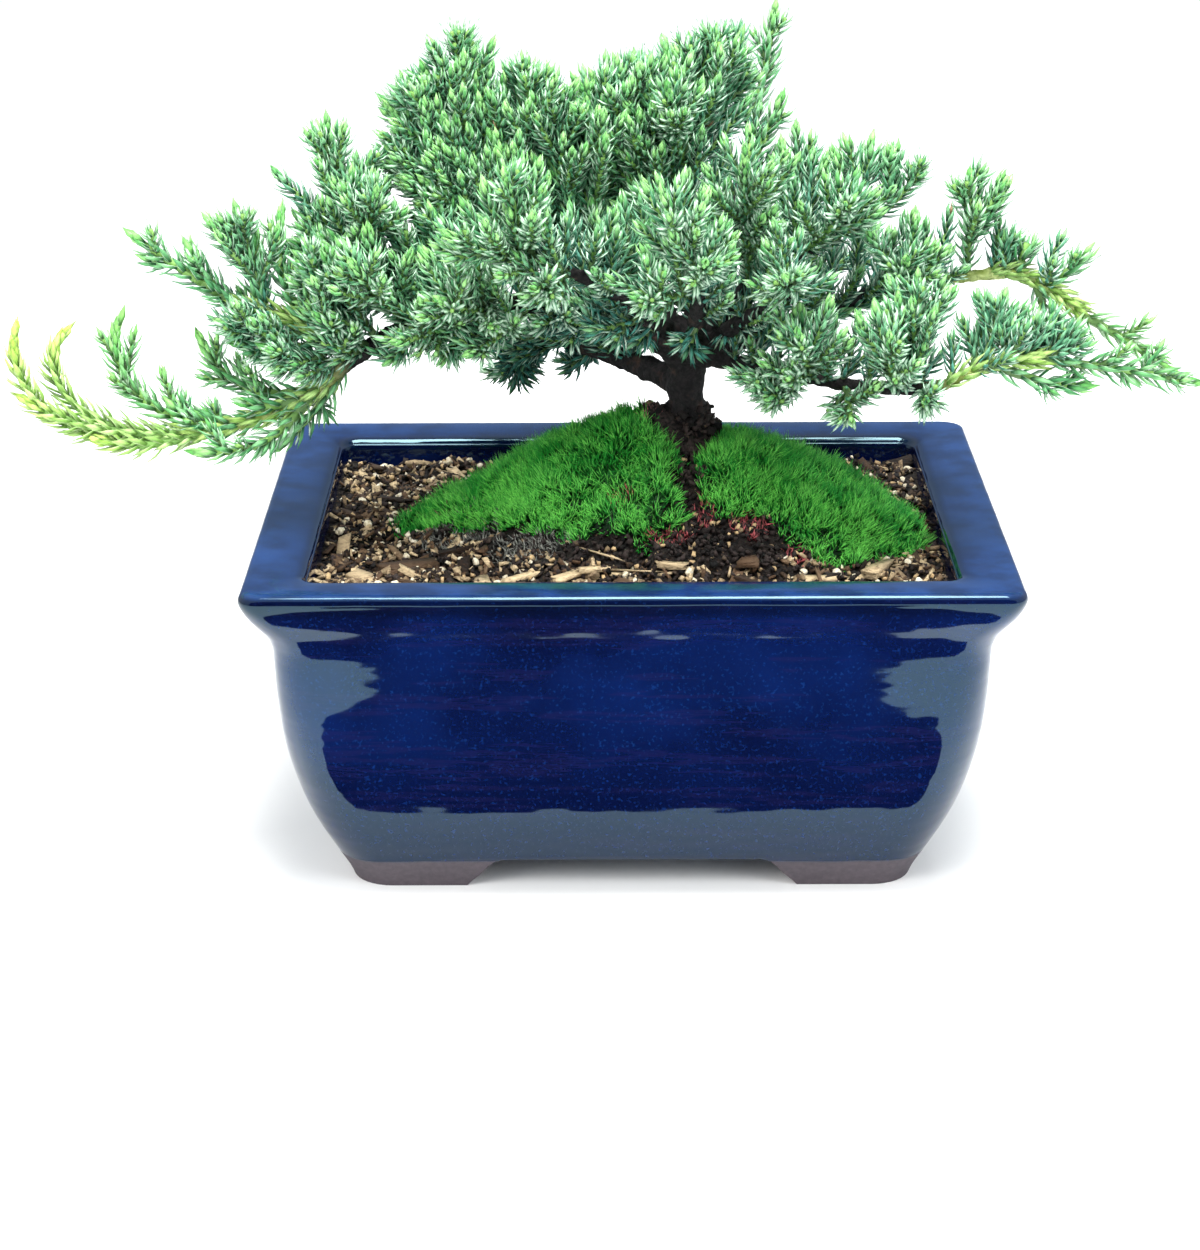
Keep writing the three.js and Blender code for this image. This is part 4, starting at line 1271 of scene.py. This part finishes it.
def clothe(
    pile, curve, bare, size=1.0, sun=0.0, step=WHORL_STEP,
    shade=0.0, closed=True, thick=0.6, spread=1.0, dead=0.0,
):
    """Adds one shoot to a pile. bare is the share of its foot without needles, sun how yellow,
    shade how much painted shade darkens it, closed whether its tip shuts, and dead the share of
    brown needles."""
    length = curve_length(curve)
    whorls = max(4, round(length * (1 - bare) / step))
    i = np.arange(whorls) / whorls
    t = bare + (1 - bare) * i**0.9
    late = smooth(i, 0.6, 1.0) if closed else smooth(i, 0.9, 1.0) * 0.5
    centre, along = on_curve(curve, t), along_curve(curve, t)
    turn = np.arange(whorls) * math.pi / 3 + rng.uniform(0, FULL_TURN)
    for k in range(3):
        angle = turn + 2 * math.pi * k / 3 + rng.normal(0, 0.14, whorls)
        out = spokes(along, angle)
        opened = (OPEN + (SHUT - OPEN) * late) * spread * (1 + rng.normal(0, 0.12, whorls))
        c, s = np.cos(opened)[:, None], np.sin(opened)[:, None]
        pointing = unit(along * c + out * s + UP * 0.1)
        keel = unit(out * c - along * s)
        keel = unit(keel - pointing * (keel * pointing).sum(1, keepdims=True))
        side = np.cross(keel, pointing)
        long = NEEDLE_LENGTH * size * (1 - 0.3 * late) * rng.uniform(0.8, 1.1, whorls)
        wide = size * (1.0 + 0.15 * late) * rng.uniform(0.85, 1.1, whorls)
        axes = np.stack([side * wide[:, None], keel * wide[:, None], pointing * long[:, None]], -1)
        # The given shade is taken off the needles' age tag, as painted shade.
        pile.add(
            needle,
            (centre + out * NEEDLE_FOOT) * MM + POT_MIDDLE,
            axes * MM,
            age=late * 0.7 + 0.3 * i - shade,
            tone=rng.random(whorls),
            sun=sun,
            dead=(rng.random(whorls) < dead).astype(float),
        )
    steps = max(2, round(length / STEM_BIT))
    ends = np.linspace(0, 0.99, steps + 1)
    knots = on_curve(curve, ends)
    lines = np.diff(knots, axis=0)
    reach = np.linalg.norm(lines, axis=1, keepdims=True)
    ahead = lines / reach
    side = spokes(ahead, np.zeros(steps))
    radius = (thick * (1 - 0.45 * ends[:-1]))[:, None]
    axes = np.stack([side * radius, np.cross(ahead, side) * radius, lines * STEM_OVERLAP], -1)
    places = knots[:-1] * MM + POT_MIDDLE
    pile.add(stem, places, axes * MM, age=ends[:-1] * 0.6, tone=0.5, sun=sun, stalk=1.0)


# %% Side shoots
# Juniper turns by the golden angle from one side shoot to the next.
GOLDEN_ANGLE = 2.4
# In mm: the CAD source's distance between side shoots, and how far they end below the tip.
SHOOT_EVERY = 9
BELOW_TIP = 2.0
SHOOT_RISE = 0.25


def side_shoots(curve, seed, extra, reach_share):
    """First the side shoots of the CAD source, then more between them, each as a curve."""
    length = curve_length(curve)
    count = round(length / SHOOT_EVERY)
    shoots = []
    for j in range(count + extra):
        own = j < count
        t = 0.3 + 0.55 * (j + 0.5) / count if own else rng.uniform(0.12, 0.9)
        random_reach = draw(seed, j) if own else rng.random()
        angle = GOLDEN_ANGLE * j + FULL_TURN * draw(seed, 7) if own else rng.uniform(0, FULL_TURN)
        centre, along = on_curve(curve, t), along_curve(curve, t)
        reach = ((0.2 + 0.16 * random_reach) * length * (1.3 - t) + 6) * reach_share
        heading = 0.75 * spokes(along, np.array(angle)) + 0.7 * along + SHOOT_RISE * UP
        heading = heading / np.linalg.norm(heading)
        ahead = float(heading @ along)
        if ahead > 0.3:
            reach = min(reach, max(4.0, ((1 - t) * length - BELOW_TIP) / ahead))
        reach *= 1 - 0.6 * max(0.0, -heading[2])
        tip = centre + heading * reach + UP * 0.15 * reach
        shoots.append(bowed(centre, tip, 0.1))
    return shoots


# %% The sprays
# Each spray: the limb that it grows from, how far along, and where its leader's tip is, in mm. A
# fourth value says how the leader bends where it isn't by SAG: the share that it bows, or the
# points that pull it on its way.
SAG = 0.12
SPRAYS = {
    "trail_tip": (
        "left_trail", 1, (-122, -26, 117),
        [(-104, -22, 89), (-121, -24, 90.5), (-126, -25, 105)],
    ),
    "trail_second": (
        "left_trail", 0.8, (-112, -19, 113.5),
        [(-99, -20, 89), (-116, -20, 90), (-122, -19, 106)],
    ),
    "trail_third": (
        "left_trail", 0.45, (-102.5, -14, 115.5),
        [(-88, -18, 89), (-101, -17, 91.5), (-108.5, -15, 105)],
    ),
    "trail_under": ("left_trail", 0.25, (-91, -26, 89), [(-71, -24, 90), (-78, -26, 88)]),
    "trail_inner": ("left_trail", 0.1, (-89, -10, 111), [(-73, -13, 95), (-84, -12, 97)]),
    "fan_far": ("left_fan", 1, (-102, -17, 133), 0.02),
    "fan_mid": ("left_fan", 0.75, (-80, -12, 138), 0.0),
    "left_drop": ("left", 0.96, (-74, -11, 84)),
    "left_peak": ("left_rise", 1, (-61.5, -4, 154.5)),
    "left_high": ("left_rise", 0.7, (-50, -22, 143)),
    "left_front": ("left", 0.75, (-56, -34, 131)),
    "left_side": ("left", 0.88, (-64, -26, 118)),
    "left_low": ("left", 0.62, (-48, -34, 113)),
    "left_under": ("left", 0.45, (-34, -30, 109)),
    "left_face": ("left", 0.5, (-39, -40, 124)),
    "left_brow": ("front_left", 0.9, (-38, -42, 138)),
    "crown_left": ("left_up", 1, (-35, 4, 171)),
    "crown_edge": ("left_up", 0.82, (-47, -2, 162)),
    "crown_back": ("left_up", 0.9, (-30, 27, 157)),
    "crown_dip": ("left_up", 0.6, (-21, 3, 165)),
    "crown_low": ("left_up", 0.4, (-9, 2, 160)),
    "crown_mid": ("centre_up", 0.65, (-1, 29, 155)),
    "crown_fore": ("centre_up", 0.78, (7, -6, 161)),
    "crown_right": ("centre_up", 1, (18, 12, 169.5)),
    "crown_behind": ("centre_up", 0.9, (25, 22, 161)),
    "back_tip": ("back_up", 1, (33, 62, 167)),
    "back_low_tip": ("back_up", 0.75, (34.5, 48, 149)),
    "right_top_in": ("right_up", 0.55, (38, 26, 141)),
    "right_top": ("right_up", 0.85, (50, 2, 149)),
    "right_shoulder": ("right_up", 1, (61, -4, 144)),
    "right_face_high": ("right_up", 0.6, (45, -24, 141)),
    "right_fore": ("right_up", 0.35, (22, -28, 152)),
    "right_rise": ("right", 0.93, (69, -4, 143)),
    "right_face": ("right", 0.7, (55, -22, 128)),
    "arch_rise": ("right_arch", 0.3, (82, -3, 128)),
    "arch_out": ("right_arch", 0.6, (95.5, -5, 126)),
    "arch_tip": ("right_arch", 1, (112, -14, 101), -0.04),
    "low_tip": ("right_low_trail", 1, (116, -22, 101), [(92, -26, 106.5), (104, -24, 104.5)]),
    "low_drop": ("right_low", 0.92, (58, -38, 102)),
    "low_front": ("right_low", 0.62, (44, -34, 96)),
    "low_inner": ("right_low", 0.4, (27, -27, 97)),
    "low_face": ("right_low", 0.5, (32, -40, 118)),
    "low_side": ("right_low", 0.8, (50, -42, 118)),
    "front_right_tip": ("front_right", 1, (29, -47, 130)),
    "front_mid": ("front", 1, (14, -52, 134)),
    "front_low": ("front", 0.75, (-1, -48, 126)),
    "front_brow": ("front", 0.9, (5, -46, 148)),
    "front_left_tip": ("front_left", 1, (-25, -43, 151)),
    "front_left_low": ("front_left", 0.8, (-20, -46, 127)),
    "back_left_low": ("low_back_left", 1, (-30, 42, 85)),
    "back_left_tip": ("back_left", 1, (-36, 56, 128)),
    "back_left_mid": ("back_left", 0.6, (-12, 58, 130)),
    "back_mid": ("back", 1, (12, 62, 132)),
    "back_right_tip": ("back_right", 1, (54, 50, 119)),
}
# How yellow-green a spray is, from the tips of the trailing twigs inwards. The others are 0.
SUN = {
    "trail_tip": 0.8, "trail_second": 0.75, "trail_third": 0.45, "trail_under": 0.35,
    "trail_inner": 0.4, "fan_far": 0.3, "fan_mid": 0.1, "left_drop": 0.3, "arch_tip": 0.5,
    "arch_out": 0.35, "arch_rise": 0.3, "low_tip": 0.4, "right_rise": 0.22, "crown_left": 0.12,
    "left_peak": 0.12, "back_tip": 0.28, "back_low_tip": 0.26, "left_brow": 0.14,
    "left_face": 0.1, "front_left_tip": 0.16, "left_front": 0.1, "right_shoulder": 0.08,
    "right_top": 0.06,
}
# Sprays at least this yellow are the trailing kind, and the youngest have no side shoots yet.
TRAILING = 0.25
YOUNG = 0.65

# %% The needles' finish
leaf = Finish("juniper needles", Roughness=0.55, IOR=1.4)
needle_map = leaf.needle_map()
u, v = leaf.part(needle_map, 0), leaf.part(needle_map, 1)
age, tone, sun, stalk, dead = (leaf.tag(name) for name in ("age", "tone", "sun", "stalk", "dead"))
band = (1 - ((u - 0.5) * (u - 0.5)).between(0.02, 0.12)) * (1 - v.between(0.7, 0.98))
margin = u.between(2.72, 3.0) * 0.9
old_green = leaf.blend(tone, "397854", "78b286")
new_green = leaf.blend(tone, "58a052", "98d07e")
green = leaf.blend(age.between(0.05, 0.9), old_green, new_green)
# Shoots with shade, deep in the tree, are painted a darker teal: painted shade.
shaded = leaf.blend(tone, "1c4e46", "40887a")
green = leaf.blend(age.between(-0.4, 0.1), shaded, green)
fresh = leaf.blend(tone, "50a244", "8ed070")
golden = leaf.blend(tone, "a8c848", "d8e878")
sunlit = (sun * 1.5).at_most(0.9) * (0.5 + age.at_least(0.0) * 0.5)
green = leaf.blend(sunlit, green, leaf.blend(sun.between(0.35, 0.9), fresh, golden))
# Each needle is painted darker towards its foot by the stem, as painted shade.
painted_shade_foot = leaf.blend(sun.between(0.2, 0.9), "1f4e3c", "6fa040")
foot = leaf.blend(v.between(0.0, 0.5), painted_shade_foot, green)
point = leaf.blend(v.between(0.8, 1.0) * (0.5 - age.at_least(0.0) * 0.5), foot, "1f4a34")
pale = leaf.blend(sun.between(0.3, 1.0), "d4eed8", "e2efb0")
banded = leaf.blend(band.at_least(margin) * (0.8 - age.at_least(0.0) * 0.3), point, pale)
stemmed = leaf.blend(sun.at_least(age.between(-0.2, 0.3)), "36493c", "7ca858")
living = leaf.blend(stalk, banded, stemmed)
brown = leaf.blend(tone, "5e4836", "a88c6a")
leaf.paint(dead, living, brown)
leaf.bump(leaf.noise(0.0006, 2.0), 0.00015)

# %% Grow the sprays
# A leader stops this far short of its spray's tip, in mm, because its last needles reach on.
TIP_NEEDLES = 2.2
# Away from the trailing twigs, a side shoot more for each so many mm of leader.
EXTRA_EVERY = 2.9
SPRAY_SEED = 700


def leader_line(limb, share, tip, bend=SAG):
    """A leader's curve from its limb to just short of the spray's tip."""
    root, end = on_curve(LIMBS[limb][:4], share), np.array(tip, float)
    if isinstance(bend, list):
        way = [np.array(point, float) for point in bend]
        return [root, *way, end - unit(end - way[-1]) * TIP_NEEDLES]
    return bowed(root, end - unit(end - root) * TIP_NEEDLES, bend)


def grow(pile, spray, seed, sun=0.0, shade=0.0):
    """A leader with its side shoots. On a trailing twig they are shorter, and lie closer."""
    leader = leader_line(*spray)
    light = {"sun": sun, "shade": shade}
    if sun >= TRAILING:
        extra, share, spread = 0, 0.5, 0.95
        clothe(pile, leader, 0.05, size=1.25, step=1.7, thick=1.0, spread=spread, **light)
    else:
        extra, share, spread = round(curve_length(leader) / EXTRA_EVERY), 1.0, 1.0
        clothe(pile, leader, 0.1, thick=0.8, **light)
    shoots = [] if sun >= YOUNG else side_shoots(leader, seed, extra, share)
    for curve in shoots:
        clothe(pile, curve, 0.12, size=rng.uniform(0.84, 1.0), spread=spread, **light)


total = 0
for number, (name, spray) in enumerate(SPRAYS.items()):
    pile = Pile()
    rng = np.random.default_rng(SPRAY_SEED + number)
    grow(pile, spray, number + 1, SUN.get(name, 0.0))
    piece = pile.make("spray")
    total += len(piece.data.polygons)
    dress(piece, "needles_" + name, leaf, "needles", "spray_" + name)
print("faces in sprays:", total)

# %% [markdown]
# ## Shoots along the limbs
# Seen from the side a juniper's limbs are hidden: short shoots fill the space between the
# sprays. They grow from the limbs, up and out, and they are darker because little light
# reaches them. The trailing twigs carry longer needles, further apart, that point forward.

# %% Inner shoots
# Each limb: from where to where shoots grow on it, how many, and their least and most length in mm.
INNER = {
    "left": (0.14, 0.8, 28, 12, 19), "left_rise": (0.1, 1, 9, 12, 20),
    "left_fan": (0.1, 1, 6, 7, 12), "left_up": (0.16, 1, 22, 12, 22),
    "centre_up": (0.2, 1, 16, 12, 22), "back_up": (0.25, 1, 12, 8, 15),
    "right_up": (0.2, 1, 18, 12, 20), "right": (0.15, 0.84, 24, 12, 18),
    "right_low": (0.15, 0.9, 22, 10, 15), "right_low_trail": (0, 1, 5, 6, 11),
    "right_arch": (0, 1, 5, 6, 11), "front_left": (0.2, 1, 16, 10, 18),
    "front": (0.2, 1, 12, 10, 18), "front_right": (0.2, 1, 12, 10, 18),
    "back_left": (0.25, 1, 16, 12, 22), "back": (0.25, 1, 14, 12, 22),
    "back_right": (0.3, 1, 16, 12, 22), "low_back_left": (0.22, 1, 20, 9, 15),
}
# Fuller places between the sprays: the limb, how far along, and the tip.
BETWEEN = [
    ("left_up", 0.7, (-49, 0, 155)), ("left_up", 0.9, (-46, 6, 161)),
    ("left_up", 0.6, (-46, -4, 150)), ("left_up", 0.5, (-44, -10, 142)),
    ("left", 0.6, (-41, -14, 138)), ("left", 0.6, (-38, -20, 132)), ("left", 0.65, (-43, -18, 130)),
    ("left", 0.55, (-37, -26, 124)), ("left_rise", 0.4, (-68, -8, 134)),
    ("left_rise", 0.1, (-69, -16, 128)), ("left", 0.9, (-66, -20, 132)),
    ("left", 0.85, (-62, -24, 130)), ("left_rise", 0.8, (-56, -10, 145)),
    ("left_up", 0.8, (-51, -4, 147)), ("left", 0.95, (-76, -22, 110)),
    ("left", 0.9, (-60, -24, 110)), ("left", 0.72, (-50, -22, 105)), ("left", 0.6, (-39, -22, 105)),
    ("left_up", 0.8, (-46, -6, 145)), ("left_up", 0.75, (-42, -8, 140)),
    ("left", 0.7, (-48, -14, 136)), ("right_low", 0.3, (23, -14, 100)),
    ("right_low", 0.35, (28, -20, 98)), ("right_low", 0.2, (21, -10, 103)),
    ("right_low", 0.45, (26, -30, 100)), ("right_low", 0.4, (22, -26, 104)),
    ("right_low_trail", 0.3, (71, -20, 116)), ("right_low_trail", 0.9, (79, -22, 115)),
    ("right_low_trail", 1, (89, -21, 114)), ("right_arch", 0.2, (76, -2, 129)),
    ("left_up", 0.5, (-16, 0, 158)), ("centre_up", 0.6, (-11, 10, 157)),
    ("centre_up", 0.7, (-4, 8, 158)), ("centre_up", 0.8, (5, 0, 158)),
    ("centre_up", 0.9, (8, 5, 161)), ("centre_up", 0.4, (-4, 8, 143)),
    ("centre_up", 0.3, (2, -5, 141)), ("front_left", 0.6, (5, -14, 136)),
    ("front_left", 0.7, (-2, -16, 131)), ("left_up", 0.4, (-8, 0, 136)),
    ("left_up", 0.45, (-6, -10, 128)), ("centre_up", 0.5, (-2, 2, 149)),
    ("centre_up", 0.5, (-10, 20, 145)), ("back_left", 0.7, (-15, 28, 136)),
    ("left_up", 0.6, (-20, 18, 140)), ("front", 0.6, (6, -20, 130)),
    ("left_up", 0.85, (-43, 0, 164)), ("left_up", 0.8, (-48, -2, 160)),
    ("left_up", 0.9, (-40, 2, 168)), ("left_up", 0.75, (-51, -2, 156)),
    ("left_up", 0.75, (-26, 4, 161)), ("left_up", 0.7, (-22, 4, 165)),
    ("left_up", 0.55, (-17, 6, 163)), ("centre_up", 0.6, (-13, 4, 161)),
    ("centre_up", 0.65, (-9, 6, 161)), ("centre_up", 0.7, (-4, 8, 164)),
    ("centre_up", 0.75, (0, 8, 164)), ("centre_up", 0.8, (7, 10, 166)),
    ("centre_up", 0.9, (12, 12, 168)), ("centre_up", 1, (24, 16, 168)),
    ("left_rise", 1, (-56, -8, 145)), ("left_rise", 0.9, (-52, -6, 147)),
    ("left_up", 0.6, (-50, -6, 144)), ("left_up", 0.5, (-47, -8, 140)),
    ("left_rise", 0.5, (-69.5, -8, 135)), ("left_rise", 0.3, (-71, -10, 129)),
    ("left_up", 0.7, (-52, -4, 150)), ("left_rise", 0.1, (-71.5, -12, 123)),
    ("left_fan", 0.3, (-85, -18, 114)), ("left_fan", 0.2, (-82, -18, 109)),
    ("left_fan", 0.1, (-79, -16, 106)), ("right_low", 0.88, (57, -24, 127)),
    ("right_low", 0.82, (53, -26, 123)), ("right_low", 0.85, (55, -28, 118)),
    ("right_low_trail", 0.6, (77, -27, 117)), ("right_low_trail", 0.4, (75, -25, 123)),
    ("right_low_trail", 0.8, (85, -25, 117)), ("right_low_trail", 1, (91, -24, 116)),
]
# Leaders in the shade under the crown, which hide where the limbs leave the trunk.
UNDER = [
    ("low_back_left", 0.9, (-24, 34, 89)), ("low_back_left", 0.6, (-19, 25, 103)),
    ("low_back_left", 0.4, (-10, 18, 103)), ("low_back_left", 0.8, (-29, 30, 98)),
    ("low_back_left", 0.5, (-15, 24, 91)), ("low_back_left", 0.7, (-27, 36, 92)),
    ("low_back_left", 0.25, (-2, 14, 100)), ("front_left", 0.25, (0, -12, 106)),
    ("front", 0.3, (11, -16, 105)), ("front_right", 0.25, (19, -12, 107)),
    ("left", 0.2, (-4, -6, 104)), ("left_up", 0.2, (0, 8, 106)), ("left", 0.3, (-14, -8, 106)),
    ("back_left", 0.4, (-8, 20, 104)), ("right", 0.3, (28, 4, 104)),
    ("low_back_left", 0.95, (-26, 35, 84)), ("low_back_left", 0.85, (-29, 36, 88)),
    ("left", 0.2, (-12, -20, 119)), ("left_up", 0.25, (-10, -12, 122)),
    ("front_left", 0.3, (-10, -24, 113)), ("left", 0.35, (-20, -20, 113)),
]
# Each table of leaders: the number that its seeds count up from, and how much painted shade
# darkens it.
SHADED_LEADERS = ((BETWEEN, 100, 0.1), (UNDER, 200, 0.45))


def limb_needles(pile, limb):
    """Short shoots all along a limb, a few of their needles dead."""
    first, last, count, least, most = INNER[limb]
    line = LIMBS[limb][:4]
    for j in range(count):
        t = first + (last - first) * (j + rng.random()) / count
        centre, along = on_curve(line, t), along_curve(line, t)
        heading = 0.7 * spokes(along, np.array(GOLDEN_ANGLE * j + rng.uniform(0, 0.8)))
        heading += 0.3 * along + 0.7 * UP
        tip = centre + unit(heading) * rng.uniform(least, most)
        # A shoot that would hang under its limb gets no light, so it isn't there.
        if np.linalg.norm(heading) < 0.5:
            continue
        # These shoots are painted darker, as painted shade, through their shade of 0.3.
        clothe(pile, bowed(centre, tip, 0.08), 0.1, size=0.95, shade=0.3, dead=0.008)


rng = np.random.default_rng(5)
for limb in INNER:
    pile = Pile()
    for leaders, first_seed, shade in SHADED_LEADERS:
        for number, spray in enumerate(leaders):
            if spray[0] == limb:
                grow(pile, spray, first_seed + number, shade=shade)
    limb_needles(pile, limb)
    dress(pile.make("inner"), "inner_" + limb, leaf, "needles")

# %% Needles on the trailing twigs
# Shoots that stand on the trailing twigs themselves.
ON_TRAILS = [
    ("left_trail", 1, (-124, -26, 101), [(-104, -24, 91.5), (-113, -25, 94)]),
    ("left_trail", 0.85, (-110, -25, 92), [(-94, -24, 89.5), (-102, -24, 89)]),
    ("left_trail", 0.7, (-95, -18, 98), [(-89, -19, 91)]),
    ("left_trail", 0.6, (-88, -18, 96), [(-84, -19, 91)]),
    ("left_trail", 0.3, (-80, -20, 98), [(-74, -18, 95)]),
    ("left_fan", 1, (-90, -14, 130), [(-85, -14, 119)]),
    ("left_fan", 0.8, (-75, -11, 132), [(-78, -12, 121)]),
    ("left_fan", 0.3, (-70, -10, 137), [(-74, -12, 120)]),
    ("right_arch", 0.5, (84, -8, 105), [(86, -6, 112)]),
    ("right_low_trail", 0.5, (93, -27, 102.5), [(84, -27, 102)]),
]
ON_TRAILS_SEED = 300
# The first two are the outermost, and get the most sun.
OUTERMOST = 2
trailing = Pile()
for number, spray in enumerate(ON_TRAILS):
    grow(trailing, spray, ON_TRAILS_SEED + number, sun=0.75 if number < OUTERMOST else 0.3)

# Each twig also has long needles of its own, in three loose coats.
COATS = 3
open_coat = {"size": 1.25, "sun": 0.8, "step": 2.4, "closed": False, "thick": 0.5, "spread": 0.75}
for limb in ("left_trail", "left_fan", "right_arch", "right_low_trail"):
    for _ in range(COATS):
        clothe(trailing, LIMBS[limb][:4], 0.0, **open_coat)
dress(trailing.make("trailing"), "trailing_needles", leaf, "needles")

# %% Finish
print("CAD box, mm:", (LOW / MM).round(1), (HIGH / MM).round(1))
